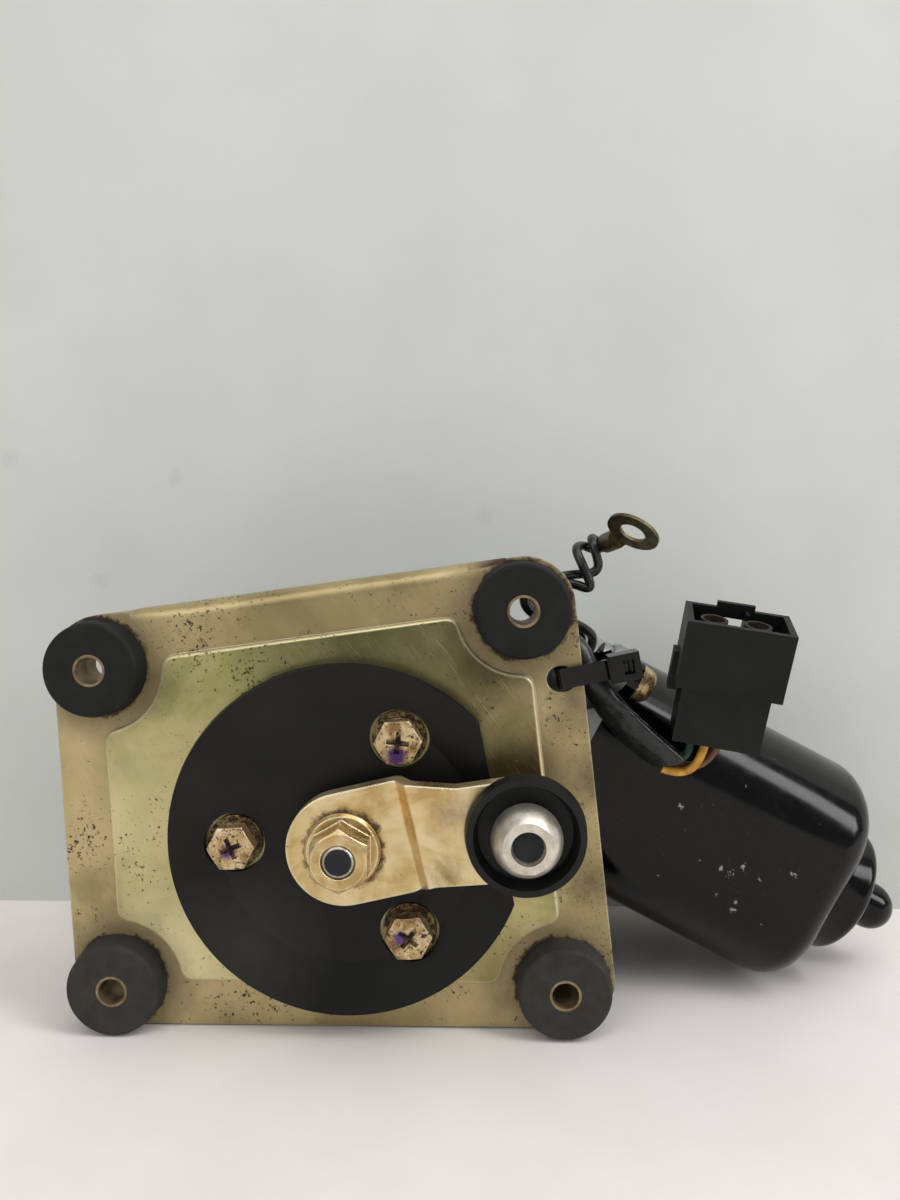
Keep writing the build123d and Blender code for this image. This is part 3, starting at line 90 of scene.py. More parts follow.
def shares(count, first=0):
    # the way from 0 to 1 in this many steps
    return [i / count for i in range(first, count + 1)]


def newMaterial(name, metallic, specular=0.5):
    # a material with its constants set on the shader's own sockets
    material = bpy.data.materials.new(name)
    material.use_nodes = True
    add = partial(addNode, material.node_tree)
    shader = material.node_tree.nodes["Principled BSDF"]
    shader.inputs["Metallic"].default_value = metallic
    shader.inputs["Specular IOR Level"].default_value = specular
    spot = add("ShaderNodeTexCoord", out="Object")
    return material, add, shader, spot


def wired(material, shader, values):
    # the finished material, its outputs linked to the shader's sockets
    for socket, value in values.items():
        material.node_tree.links.new(value, shader.inputs[socket])
    return material


# shared by every finish: where noise sets in and ends, how softly marks begin, how rough they are
wear = {
    "clouds": (0.35, 0.65), "grain": (0.3, 0.7), "tints": (0.36, 0.5, 0.64),
    "dustSoft": 0.12, "dustRough": 0.9, "patchRough": 0.7, "scratchSoft": 0.06,
    "gritSoft": 0.05, "gritDrift": 0.35, "dirtAndShadeRough": 0.82, "scratchRelief": 0.12,
    # how squarely a surface faces the front, from unmarked to fully marked: dirt and painted shade
    # in folds, painted highlight and shade on the step; for the rim, its own true face
    "foldFacing": (0.97, 0.8), "stepFacing": (0.99, 0.85), "rimFacing": (0.998, 0.93),
}


def distanceTo(add, spot, places, across):
    # how far the nearest of these places is, without the axes that across leaves out
    flat = add("ShaderNodeVectorMath", {0: spot, 1: across}, operation="MULTIPLY")
    nearest = None
    for centre in places:
        centre = tuple(c * keep for c, keep in zip(centre, across))
        away = add("ShaderNodeVectorMath", {0: flat, 1: centre}, operation="DISTANCE", out="Value")
        if nearest is not None:
            away = add("ShaderNodeMath", {0: nearest, 1: away}, operation="MINIMUM")
        nearest = away
    return nearest


def nearTo(add, spot, patch):
    # a patch's mask: its amount at its places, fading to 0 over its reach in mm; the edge is
    # ragged by tears of one size and depth in mm
    nearest = distanceTo(add, spot, patch["at"], patch.get("across", (1, 0, 1)))
    size, deep = patch["ragged"]
    torn = add(
        "ShaderNodeTexNoise",
        {"Vector": spot, "Scale": perMetre(size), "Detail": 6.0, "Roughness": 0.7})
    torn = add("ShaderNodeMath", {0: torn, 1: deep / 1000, 2: nearest}, operation="MULTIPLY_ADD")
    solid, gone = (reach / 1000 + deep / 2000 for reach in patch["reach"])
    return add(
        "ShaderNodeMapRange",
        {"Value": torn, **between(solid, gone, patch.get("amount", 1.0), 0.0)})


def scratches(add, spot, look):
    # the mask of long thin scratches all turned one way, and the noise that they come from
    turned = add(
        "ShaderNodeMapping",
        {"Vector": spot, "Rotation": (0, math.radians(look["turn"]), 0),
         "Scale": (look["long"] / 1000, look["fine"] / 1000, look["fine"] / 1000)},
        vector_type="TEXTURE")
    hairs = add(
        "ShaderNodeTexNoise", {"Vector": turned, "Scale": 1.0, "Detail": 4.0, "Roughness": 0.65})
    span = look["from"], look["from"] + wear["scratchSoft"]
    scored = add("ShaderNodeMapRange", {"Value": hairs, **between(*span, 0.0, look["amount"])})
    return scored, hairs


def layered(add, colour, layers):
    # colours laid one over another, each where its mask shows
    for mask, over in layers:
        over = linear(over) if isinstance(over, str) else over
        colour = add("ShaderNodeMix", {0: mask, 6: colour, 7: over}, data_type="RGBA", out=2)
    return colour


def mottled(look):
    # two colours clouded into each other, roughness that varies, and a fine grain in relief
    material, add, shader, spot = newMaterial(
        look["name"], look.get("metallic", 0.0), look.get("specular", 0.5))
    cloud = add(
        "ShaderNodeTexNoise",
        {"Vector": spot, "Scale": perMetre(look["cloud"]), "Detail": 4.0, "Roughness": 0.6})
    cloud = add("ShaderNodeMapRange", {"Value": cloud, **between(*wear["clouds"])})
    grain = add(
        "ShaderNodeTexNoise", {"Vector": spot, "Scale": perMetre(look["grain"]), "Detail": 3.0})
    rough = add("ShaderNodeMapRange", {"Value": grain, **between(*wear["grain"], *look["rough"])})
    layers = [(cloud, look["stain"])]
    roughened = []
    if "dust" in look:
        # dust and handling marks: scattered pale specks with ragged edges
        dust = add(
            "ShaderNodeTexNoise",
            {"Vector": spot, "Scale": perMetre(look["dustSize"]), "Detail": 5.0,
             "Roughness": 0.75})
        dust = add(
            "ShaderNodeMapRange",
            {"Value": dust, **between(look["dustFrom"], look["dustFrom"] + wear["dustSoft"])})
        layers.append((dust, look["dust"]))
        roughened.append((dust, wear["dustRough"]))
    if "scratched" in look:
        layers.append((scratches(add, spot, look["scratched"])[0], look["scratched"]["colour"]))
    for patch in look.get("patches", []):
        # chips, smears and dusty places, each with its own colour
        here = nearTo(add, spot, patch)
        layers.append((here, patch["colour"]))
        roughened.append((here, wear["patchRough"]))
    for mask, asRough in roughened:
        rough = add("ShaderNodeMix", {0: mask, 2: rough, 3: asRough})
    relief = add(
        "ShaderNodeBump", {"Height": grain, "Distance": look["depth"] / 1000, "Strength": 0.6})
    colour = layered(add, linear(look["base"]), layers)
    return wired(material, shader, {"Base Color": colour, "Roughness": rough, "Normal": relief})


def leaning(add, facing, span):
    # 0 where the surface faces the front, 1 where it leans away
    front = add(
        "ShaderNodeVectorMath", {0: facing, 1: (0, -1, 0)}, operation="DOT_PRODUCT", out="Value")
    return add("ShaderNodeMapRange", {"Value": front, **between(*span)})


def wornZinc(name, look):
    # yellow-passivated zinc: drifting colours, brushed scratches, bright edges of worn plating and
    # painted highlight, baked-on dirt, and where asked painted shade and reflections
    material, add, shader, spot = newMaterial(name, look["metallic"])
    drift = add(
        "ShaderNodeTexNoise",
        {"Vector": spot, "Scale": perMetre(look["cloud"]), "Detail": 3.0, "Roughness": 0.55,
         "Distortion": 0.6})
    tint = add("ShaderNodeValToRGB", {"Fac": drift})
    stops = tint.node.color_ramp.elements
    stops.new(0.5)
    for stop, position, shade in zip(stops, wear["tints"], look["tints"]):
        stop.position, stop.color = position, linear(shade)
    # painted shade and reflections that belong to one place on the piece: darker and paler patches
    layers = [(nearTo(add, spot, shade), shade["colour"]) for shade in look.get("paintedShadeAndReflections", [])]
    border = look.get("border")
    if border:
        # the border round the raised panel has taken the passivation differently
        height = add("ShaderNodeSeparateXYZ", {0: spot}, out="Y")
        onBorder = add("ShaderNodeMapRange", {"Value": height, **between(*border["step"])})
        share = add("ShaderNodeMath", {0: onBorder, 1: border["amount"]}, operation="MULTIPLY")
        one, two = border["colours"]
        layers.append((share, layered(add, linear(one), [(drift, two)])))
    scored, hairs = scratches(add, spot, look["brushed"])
    layers.append((scored, look["brushed"]["colour"]))
    # bright rims: plating rubbed on the edges, with a painted highlight where the rounded edges
    # catch the light
    rounded = add("ShaderNodeBevel", {"Radius": look["rim"]["reach"] / 1000}, samples=6)
    facing = add("ShaderNodeNewGeometry", out="Normal")
    edge = add(
        "ShaderNodeVectorMath", {0: rounded, 1: facing}, operation="DOT_PRODUCT", out="Value")
    rim = add(
        "ShaderNodeMapRange",
        {"Value": edge, **between(*wear["rimFacing"], 0.0, look["rim"]["amount"])})
    layers.append((rim, look["rim"]["colour"]))
    # specks of rust and grit, thicker in some places than in others
    grit = add(
        "ShaderNodeTexNoise",
        {"Vector": spot, "Scale": perMetre(look["specks"]["size"]), "Detail": 5.0,
         "Roughness": 0.7})
    patchy = add(
        "ShaderNodeTexNoise",
        {"Vector": spot, "Scale": perMetre(look["cloud"] * 0.6), "Detail": 2.0})
    grit = add(
        "ShaderNodeMath", {0: patchy, 1: wear["gritDrift"], 2: grit}, operation="MULTIPLY_ADD")
    specksFrom = look["specks"]["from"]
    dirtAndShade = add(
        "ShaderNodeMapRange", {"Value": grit, **between(specksFrom, specksFrom + wear["gritSoft"])})
    masks = [nearTo(add, spot, crust) for crust in look.get("crusts", [])]
    if "folds" in look:
        # dirt and painted shade in the folds, where the surface leans away from the front
        masks.append(add(
            "ShaderNodeMath",
            {0: leaning(add, facing, wear["foldFacing"]), 1: nearTo(add, spot, look["folds"])},
            operation="MULTIPLY"))
    if border:
        # the panel's step: a painted highlight along its lip, and painted shade thinly along its
        # foot
        sloping = leaning(add, facing, wear["stepFacing"])
        raised = add("ShaderNodeMath", {0: 1.0, 1: onBorder}, operation="SUBTRACT")
        paintedLipHighlight = add("ShaderNodeMath", {0: sloping, 1: raised}, operation="MULTIPLY")
        layers.append((paintedLipHighlight, border["paintedLipHighlight"]))
        onPlate = add(
            "ShaderNodeMapRange",
            {"Value": height, **between(*border["foot"], border["footShade"], 0.0)})
        foot = add("ShaderNodeMath", {0: sloping, 1: onBorder}, operation="MULTIPLY")
        masks.append(add("ShaderNodeMath", {0: foot, 1: onPlate}, operation="MULTIPLY"))
    for mask in masks:
        dirtAndShade = add("ShaderNodeMath", {0: dirtAndShade, 1: mask}, operation="MAXIMUM")
    # one colour layer for baked-on dirt and for painted shade where the folds and the step's foot
    # add to it
    one, two = look["dirtAndShade"]
    layers.append((dirtAndShade, layered(add, linear(one), [(hairs, two)])))
    for paint in look.get("paint", []):
        # dabs of marking paint over everything, as dull as the dirt
        dab = nearTo(add, spot, paint)
        layers.append((dab, paint["colour"]))
        dirtAndShade = add("ShaderNodeMath", {0: dirtAndShade, 1: dab}, operation="MAXIMUM")
    unmarked = add("ShaderNodeMath", {0: 1.0, 1: dirtAndShade}, operation="SUBTRACT", use_clamp=True)
    metal = add("ShaderNodeMath", {0: unmarked, 1: look["metallic"]}, operation="MULTIPLY")
    sheen = add("ShaderNodeMapRange", {"Value": drift, **between(*wear["clouds"], *look["rough"])})
    rough = add("ShaderNodeMix", {0: dirtAndShade, 2: sheen, 3: wear["dirtAndShadeRough"]})
    lumps = add("ShaderNodeMath", {0: dirtAndShade, 1: grit}, operation="MULTIPLY")
    lumps = add(
        "ShaderNodeMath", {0: hairs, 1: wear["scratchRelief"], 2: lumps}, operation="MULTIPLY_ADD")
    relief = add(
        "ShaderNodeBump",
        {"Height": lumps, "Distance": look["depth"] / 1000, "Strength": 0.7, "Normal": rounded})
    return wired(material, shader, {
        "Base Color": layered(add, tint, layers), "Metallic": metal, "Roughness": rough,
        "Normal": relief})


camera = {
    "from": (29.28, -206.81, 73.56), "down": 4.488, "left": 1.298, "lens": 25.99, "film": 36,
    "near": 0.01,
}
eye = newObject("camera", bpy.data.cameras.new("camera"))
eye.data.lens = camera["lens"]
eye.data.sensor_width = camera["film"]
eye.data.clip_start = camera["near"]
eye.location = place(*camera["from"])
eye.rotation_euler = (math.radians(90 - camera["down"]), 0, math.radians(camera["left"]))
bpy.context.scene.camera = eye
bpy.context.scene.view_settings.view_transform = "Standard"
print("camera set")

# a pale table top and a wall close behind it, in metres
room = {
    "wallAt": 0.0526, "wide": 1.6, "tall": 1.0, "glow": "#E9EAE8", "glowStrength": 0.36,
    # emulsion paint, rolled on: matt pale grey, hardly clouded, with a few faint smudges
    "wall": {
        "name": "emulsionPaint", "base": "#CED0CB", "stain": "#C8CAC5", "cloud": 60, "grain": 1.2,
        "depth": 0.02, "rough": (0.75, 0.9),
        "patches": [
            {"at": [place(-65.5, 72, 90.9), place(34.2, 72, 79.0), place(-119, 72, 97.4),
                    place(-90.9, 72, 58)],
             "reach": (0, 3.5), "ragged": (2.5, 7.0), "amount": 0.3, "colour": "#A9ABA6"},
        ],
    },
    # melamine laminate, pressed smooth: warm white and half matt, so that it gives a soft shine
    "table": {
        "name": "laminateTable", "base": "#EAE5E2", "stain": "#E4DFDB", "cloud": 45, "grain": 0.8,
        "depth": 0.01, "rough": (0.5, 0.65),
    },
}


def flatPiece(name, corners):
    mesh = bpy.data.meshes.new(name)
    mesh.from_pydata(corners, [], [(0, 1, 2, 3)])
    mesh.materials.append(mottled(room[name]))
    piece = newObject(name, mesh)
    return mesh.materials[0].node_tree


wide, back, tall = room["wide"], room["wallAt"], room["tall"]
wallTree = flatPiece(
    "wall", [(-wide, back, 0), (wide, back, 0), (wide, back, tall), (-wide, back, tall)])
flatPiece("table", [(-wide, -wide, 0), (wide, -wide, 0), (wide, wide, 0), (-wide, wide, 0)])
# from behind, the wall is clear, so that the part can be seen through it
wallSide = addNode(
    wallTree, "ShaderNodeMixShader",
    {0: addNode(wallTree, "ShaderNodeNewGeometry", out="Backfacing"),
     1: wallTree.nodes["Principled BSDF"].outputs[0],
     2: addNode(wallTree, "ShaderNodeBsdfTransparent")})
wallTree.links.new(wallSide, wallTree.nodes["Material Output"].inputs["Surface"])

# places and sizes in metres, power in watts
lamps = {
    "ceiling": {"at": (0.25, -0.25, 1.05), "aim": (0.05, 0.0, 0.05), "size": (1.7, 0.7),
                "power": 6.4},
    "window": {"at": (-0.7, -0.75, 0.6), "aim": (0.0, 0.0, 0.05), "size": (0.6, 0.8),
               "power": 3.0},
    "tube": {"at": (0.95, -0.42, 0.76), "aim": (0.12, 0.0, 0.05), "size": (0.34, 1.1),
             "power": 8.8},
}
for name, lamp in lamps.items():
    light = newObject(name, bpy.data.lights.new(name, "AREA"))
    light.data.shape = "RECTANGLE"
    light.data.size, light.data.size_y = lamp["size"]
    light.data.energy = lamp["power"]
    light.location = lamp["at"]
    aim = Vector(lamp["aim"]) - Vector(lamp["at"])
    light.rotation_euler = aim.to_track_quat("-Z", "Y").to_euler()
world = bpy.data.worlds.new("world")
bpy.context.scene.world = world
world.use_nodes = True
glow = world.node_tree.nodes["Background"].inputs
glow["Color"].default_value = linear(room["glow"])
glow["Strength"].default_value = room["glowStrength"]
print("room and lamps set")

# bush, screw and ball centres, where dirt has collected; round the bushes painted shade lies in the
# folds as well
bushCentres = [
    place(-60.8, 0, 40.8), place(41.9, 0, 55.1), place(-57.8, 0, -38.1), place(52.6, 0, -37.8),
]
screws = {"circle": 27.4, "turns": (62.8, 182.8, 302.8)}
screwCentres = [
    place(screws["circle"] * math.cos(math.radians(a)), 0,
          screws["circle"] * math.sin(math.radians(a)))
    for a in screws["turns"]
]
crankBall = place(41.98, -11.5, 5.97)

# pressed steel sheet, zinc plated and yellow passivated: satin olive gold that drifts to brown and
# green, scratched, rusting in specks, with brown dirt baked on round the bushes, and darker and
# paler patches of painted shade and reflections
plateZinc = wornZinc("plateZinc", {
    "metallic": 0.75, "rough": (0.3, 0.42), "cloud": 24, "tints": ("#8B8A58", "#B8AE78", "#D0BF90"),
    # painted shade and reflections: dark patches stand for the shadow above the disc and dark
    # surroundings mirrored on the right, pale ones for light mirrored on the left
    "paintedShadeAndReflections": [
        {"at": [place(x, 0, z)], "reach": reach, "ragged": (18, deep), "amount": amount,
         "colour": colour}
        for x, z, reach, deep, amount, colour in (
            (4, 50, (6, 38), 14, 0.9, "#4F5230"),
            (34, 44, (4, 24), 10, 0.9, "#4E4527"),
            (46, 12, (4, 28), 12, 0.95, "#4E3D20"),
            (32, -38, (2, 20), 10, 0.6, "#8A7C50"),
            (-42, -32, (4, 28), 10, 0.8, "#E6D9AC"),
            (-50, 6, (4, 26), 8, 0.6, "#D6CD9C"),
            (-30, 38, (2, 14), 8, 0.5, "#A3A066"),
        )
    ],
    # in metres, the depths over which the panel's step falls and those where its foot ends
    # the lip colour is a painted highlight along the step; the foot's amount sets the painted shade
    # along its foot
    "border": {"step": (shaftCentre.y - 0.0013, shaftCentre.y - 0.0005), "amount": 0.8,
               "foot": (shaftCentre.y, shaftCentre.y + 0.0002), "footShade": 0.95,
               "colours": ("#7E6C42", "#D9C596"), "paintedLipHighlight": "#DCD0A4"},
    "brushed": {"turn": 52, "long": 9, "fine": 0.3, "from": 0.61, "amount": 0.16,
                "colour": "#EDE4C6"},
    "rim": {"reach": 0.6, "amount": 0.5, "colour": "#F3EBCF"},
    "specks": {"size": 1.0, "from": 0.80},
    "crusts": [
        {"at": bushCentres, "reach": (11.8, 13.4), "ragged": (3.5, 6.0)},
        {"at": bushCentres, "reach": (13.0, 21.0), "ragged": (6.0, 9.0), "amount": 0.45},
        {"at": [place(60, 0, 14), place(59, 0, -12), place(55, 0, 32)], "reach": (0, 9),
         "ragged": (2.5, 12.0), "amount": 0.6},
        {"at": [place(-64, 0, -12), place(-30, 0, -50), place(20, 0, -50)], "reach": (0, 8),
         "ragged": (3.0, 12.0), "amount": 0.3},
    ],
    # dirt and painted shade where the plate leans away round the bushes
    "folds": {"at": bushCentres, "reach": (13, 18), "ragged": (3, 4)},
    "dirtAndShade": ("#1D140C", "#49331D"), "depth": 0.12,
})
# a pressed steel arm in the same plating, cleaner: warm gold, brushed along it, pale at its rims,
# where the plating is rubbed and a highlight is painted
crankZinc = wornZinc("crankZinc", {
    "metallic": 0.85, "rough": (0.24, 0.38), "cloud": 10,
    "tints": ("#BB9E68", "#D3BA85", "#E6D2A4"),
    "brushed": {"turn": -6, "long": 7, "fine": 0.28, "from": 0.6, "amount": 0.3,
                "colour": "#F4E8C8"},
    "rim": {"reach": 0.9, "amount": 0.8, "colour": "#FFF4D6"},
    "specks": {"size": 0.8, "from": 0.85},
    "crusts": [
        {"at": [shaftCentre], "reach": (8.9, 10.2), "ragged": (3.0, 6.0)},
        {"at": [crankBall], "reach": (12, 13.5), "ragged": (3.0, 4.0)},
        {"at": [place(24.5, 0, 10.5), place(24, 0, -4)], "reach": (0, 4.5), "ragged": (2.0, 9.0),
         "amount": 0.45},
    ],
    "dirtAndShade": ("#2A1D10", "#6A4E2E"), "depth": 0.08,
})
# cold-headed screws in the same plating, gone brown, each with a dab of violet marking paint
boltZinc = wornZinc("boltZinc", {
    "metallic": 0.8, "rough": (0.28, 0.45), "cloud": 3.5,
    "tints": ("#8E7148", "#C3A777", "#DCC8A2"),
    "brushed": {"turn": 60, "long": 3, "fine": 0.25, "from": 0.6, "amount": 0.4,
                "colour": "#EFE4C4"},
    "rim": {"reach": 0.4, "amount": 0.6, "colour": "#F3E9CC"},
    "specks": {"size": 0.7, "from": 0.74},
    "crusts": [{"at": screwCentres, "reach": (0.8, 1.8), "ragged": (1.2, 3.0)}],
    "paint": [
        {"at": [screw + Vector(aside) / 1000], "across": (1, 1, 1), "reach": reach,
         "ragged": ragged, "colour": colour}
        for screw, aside, reach, ragged, colour in zip(
            screwCentres, ((-0.4, -7.6, -3.0), (-0.6, -7.6, -0.8), (-2.0, -7.6, 0.4)),
            ((1.7, 3.0), (1.0, 2.3), (1.0, 2.3)), ((1.5, 3.4), (1.0, 2.4), (1.0, 2.4)),
            ("#3F1552", "#4E2460", "#5E3A76"),
        )
    ],
    "dirtAndShade": ("#1F150D", "#47301B"), "depth": 0.06,
})
# the stamped washers below them: the same plating, nearly black with dirt
washerZinc = wornZinc("washerZinc", {
    "metallic": 0.75, "rough": (0.35, 0.5), "cloud": 3, "tints": ("#54432A", "#7D6743", "#A18B60"),
    "brushed": {"turn": 30, "long": 3, "fine": 0.3, "from": 0.6, "amount": 0.3,
                "colour": "#D9CBA4"},
    "rim": {"reach": 0.3, "amount": 0.4, "colour": "#D9CBA4"},
    "specks": {"size": 0.8, "from": 0.66},
    "dirtAndShade": ("#140E09", "#35251A"), "depth": 0.08,
})
# the forged nut, rubbed by the spanner: the smoothest and brightest gold
nutZinc = wornZinc("nutZinc", {
    "metallic": 0.88, "rough": (0.2, 0.32), "cloud": 5, "tints": ("#B59963", "#CBB17E", "#DAC696"),
    "brushed": {"turn": 20, "long": 3, "fine": 0.25, "from": 0.62, "amount": 0.3,
                "colour": "#FBF0D0"},
    "rim": {"reach": 0.5, "amount": 0.7, "colour": "#FFF6D8"},
    "specks": {"size": 0.8, "from": 0.86},
    "dirtAndShade": ("#241A10", "#4A3520"), "depth": 0.05,
})
# turned bare steel: the ends of the stud and the ball's pin are black at their centres, their rims
# bright with rubbing and painted highlight
studSteel = wornZinc("studSteel", {
    "metallic": 0.95, "rough": (0.25, 0.4), "cloud": 4, "tints": ("#A9A39A", "#C9C4BA", "#DAD6CC"),
    "brushed": {"turn": 0, "long": 2, "fine": 0.2, "from": 0.6, "amount": 0.3,
                "colour": "#F0EDE6"},
    "rim": {"reach": 0.3, "amount": 0.4, "colour": "#F7F5EF"},
    "specks": {"size": 0.6, "from": 0.84},
    "crusts": [
        {"at": [shaftCentre], "reach": (3.0, 3.3), "ragged": (1.0, 0.4)},
        {"at": [crankBall], "reach": (3.3, 3.6), "ragged": (1.0, 0.4)},
    ],
    "dirtAndShade": ("#0B0B0C", "#232326"), "depth": 0.06,
})
print("plated finishes made")

# places on the can's near side where its enamel is chipped, at two sizes
chipped = {
    "large": [place(x, 10.2, z) for x, z in (
        (83.2, 4.0), (93.4, -12.1), (96.0, -13.4), (99.0, -11.5), (112.5, -13.5), (97.4, -21.0),
        (97.3, -23.0))],
    "small": [place(x, 10.2, z) for x, z in (
        (78.0, -14.6), (99.7, 9.1), (92.6, -19.2), (103.7, -15.2), (88.3, -10.0), (121.5, -25.8),
        (104.2, -27.0))],
}
# cloud, grain and depth of relief are in mm; a camelCase row is for some pieces, not for a slot
columns = ("name", "base", "stain", "cloud", "grain", "depth", "rough", "metallic")
finishes = {
    # drawn steel sprayed with gloss enamel: deep black, sharp reflections, chips that show pale
    "black_enamel": ("blackEnamel", "#020202", "#050505", 12, 3.0, 0.004, (0.1, 0.2), 0.0,
        {"specular": 0.26, "dust": "#8A8880", "dustSize": 1.1, "dustFrom": 0.67,
         "scratched": {"turn": 32, "long": 12, "fine": 0.22, "from": 0.66, "amount": 0.22,
                       "colour": "#6A6965"},
         "patches": [
             {"at": chipped["large"], "reach": (0.3, 0.6), "ragged": (1.1, 7.0), "amount": 0.85,
              "colour": "#9D9B93"},
             {"at": chipped["small"], "reach": (0.0, 0.2), "ragged": (0.7, 4.0), "amount": 0.8,
              "colour": "#9D9B93"}]}),
    # moulded nitrile rubber: matt charcoal with a little dust in its grain
    "bush_rubber": ("bushRubber", "#111211", "#191A18", 6, 0.35, 0.02, (0.6, 0.75), 0.0,
        {"specular": 0.25, "dust": "#6B6458", "dustSize": 0.8, "dustFrom": 0.72}),
    # the same rubber in the two lower bushes, greyer under caked dust
    "dustyRubber": ("dustyRubber", "#2B2B28", "#363530", 5, 0.35, 0.02, (0.7, 0.85), 0.0,
        {"specular": 0.3, "dust": "#857B6B", "dustSize": 0.9, "dustFrom": 0.66}),
    # pressed sheet rubber: satin black with fine dust, paler towards its lower left
    "disc_rubber": ("discRubber", "#0C0C0B", "#131312", 14, 0.5, 0.015, (0.4, 0.52), 0.0,
        {"specular": 0.25, "dust": "#57534A", "dustSize": 0.9, "dustFrom": 0.7,
         "patches": [{"at": [place(-24, 0, -26)], "reach": (0, 22), "ragged": (5, 14),
                      "amount": 0.35, "colour": "#47453E"}]}),
    # turned steel, handled and greased: bright, with brown specks
    "bright_steel": ("turnedSteel", "#E2DDD2", "#C4BBAD", 3, 0.25, 0.01, (0.26, 0.42), 0.9,
        {"dust": "#6E5A44", "dustSize": 0.7, "dustFrom": 0.7}),
    # die-cast aluminium left raw: pale grey, cloudy and softly matt
    "cast_alloy": ("castAluminium", "#A9ABA9", "#8B8D8A", 7, 0.5, 0.04, (0.5, 0.66), 0.9, {}),
    # sintered bronze: dull brown gold with open pores
    "bronze": ("sinteredBronze", "#A5783F", "#7C5A32", 2, 0.2, 0.02, (0.45, 0.6), 1.0, {}),
    # enamelled copper wire, wound: reddish and glossy
    "copper": ("enamelledCopper", "#B5653A", "#8E4A2C", 4, 0.4, 0.01, (0.25, 0.4), 1.0, {}),
    # rolled brass strip: yellow with fine tarnish
    "contact_brass": ("brassStrip", "#C9A95A", "#A08545", 4, 0.3, 0.006, (0.25, 0.4), 1.0, {}),
    # stamped silicon steel: blue grey and smooth
    "lamination": ("siliconSteel", "#6A6B6D", "#54524F", 5, 0.4, 0.01, (0.4, 0.55), 1.0, {}),
    # sintered ferrite: near black and stony
    "ferrite": ("ferrite", "#252527", "#303031", 4, 0.3, 0.02, (0.6, 0.75), 0.0, {}),
    # pressed carbon graphite: black with a faint leaden sheen
    "carbon": ("carbonGraphite", "#1B1B1C", "#2A2A2B", 2, 0.2, 0.02, (0.45, 0.6), 0.0, {}),
    # moulded nylon: creamy white and slightly waxy
    "nylon": ("nylonGear", "#DDD8C6", "#CFC7AE", 12, 0.5, 0.006, (0.35, 0.5), 0.0, {}),
    # laminated phenolic paper: brown and satin
    "phenolic": ("phenolicPaper", "#4A2E1A", "#5C3A20", 5, 0.4, 0.01, (0.4, 0.55), 0.0, {}),
    # moulded glass-filled nylon: dark grey, the fibres just roughening its skin
    "cover_plastic": ("glassFilledNylon", "#161617", "#202021", 9, 0.35, 0.02, (0.5, 0.65), 0.0,
        {}),
    # oiled gasket paper, stamped: brown and fibrous
    "gasket_paper": ("gasketPaper", "#77603F", "#5F4B31", 3, 0.25, 0.03, (0.85, 0.95), 0.0, {}),
    # extruded soft vinyl: black and half glossy with pale dust
    "vinyl": ("softVinyl", "#121413", "#1D201E", 5, 0.6, 0.02, (0.24, 0.38), 0.0,
        {"dust": "#6A685F", "dustSize": 0.8, "dustFrom": 0.72}),
    # extruded vinyl over a wire: dark green, satin
    "wire_green": ("greenVinyl", "#0C4634", "#0A3A33", 3, 0.4, 0.01, (0.35, 0.5), 0.0, {}),
    # the same in yellow, gone brown with grease
    "wire_yellow": ("yellowVinyl", "#E3B23C", "#B97A22", 3, 0.4, 0.01, (0.35, 0.5), 0.0, {}),
    # the same in brown
    "wire_brown": ("brownVinyl", "#5A3A22", "#7A4A26", 3, 0.4, 0.01, (0.35, 0.5), 0.0, {}),
    # moulded polyamide: black with an even fine grain
    "connector_plastic": ("blackPolyamide", "#0E0F0E", "#151614", 8, 0.3, 0.02, (0.4, 0.55), 0.0,
        {"specular": 0.22, "dust": "#5E5A50", "dustSize": 0.8, "dustFrom": 0.72}),
    # tinned steel gone to rust: brown, rough and pitted
    "rusty_terminal": ("rustedTin", "#3A2C24", "#1E1713", 1.2, 0.2, 0.1, (0.6, 0.85), 0.3,
        {"dust": "#8A7B6C", "dustSize": 0.6, "dustFrom": 0.6}),
    # moulded nylon: black, and glossy along the strap
    "tie_nylon": ("blackNylon", "#070707", "#0C0C0C", 4, 0.5, 0.01, (0.12, 0.2), 0.0,
        {"specular": 0.3, "dust": "#4C4A44", "dustSize": 0.8, "dustFrom": 0.74}),
    # tinned brass, crimped: tarnished to olive
    "bronze_tin": ("tinnedBrass", "#7C7358", "#544B3A", 2, 0.25, 0.02, (0.35, 0.55), 1.0, {}),
    # moulded rubber: matt black
    "grommet_rubber": ("grommetRubber", "#171818", "#222322", 4, 0.3, 0.02, (0.55, 0.7), 0.0, {}),
    # thin moulded rubber: black, with a soft gloss on its rim
    "boot_rubber": ("bootRubber", "#0E0E0E", "#151515", 7, 0.4, 0.02, (0.45, 0.6), 0.0,
        {"specular": 0.3, "dust": "#4C4A44", "dustSize": 0.9, "dustFrom": 0.73}),
    # blued spring steel: dark and smooth
    "spring_steel": ("springSteel", "#5A5046", "#3E342C", 2, 0.25, 0.01, (0.35, 0.5), 1.0, {}),
    # drawn steel tube, dulled: brown and stained
    "sleeveSteel": ("dulledSteel", "#9C8A68", "#6E5B40", 3, 0.25, 0.02, (0.35, 0.55), 0.7,
        {"dust": "#2E2218", "dustSize": 0.9, "dustFrom": 0.62}),
    # grease and road dirt dried together: brown, dull and crumbly
    "driedGrime": ("driedGrime", "#241A11", "#4A3623", 1.5, 0.2, 0.05, (0.8, 0.95), 0.0,
        {"specular": 0.25}),
}
materials = {"zinc_plate": plateZinc, "zinc_steel": boltZinc}
for slot, (*row, more) in finishes.items():
    materials[slot] = mottled({**dict(zip(columns, row)), **more})
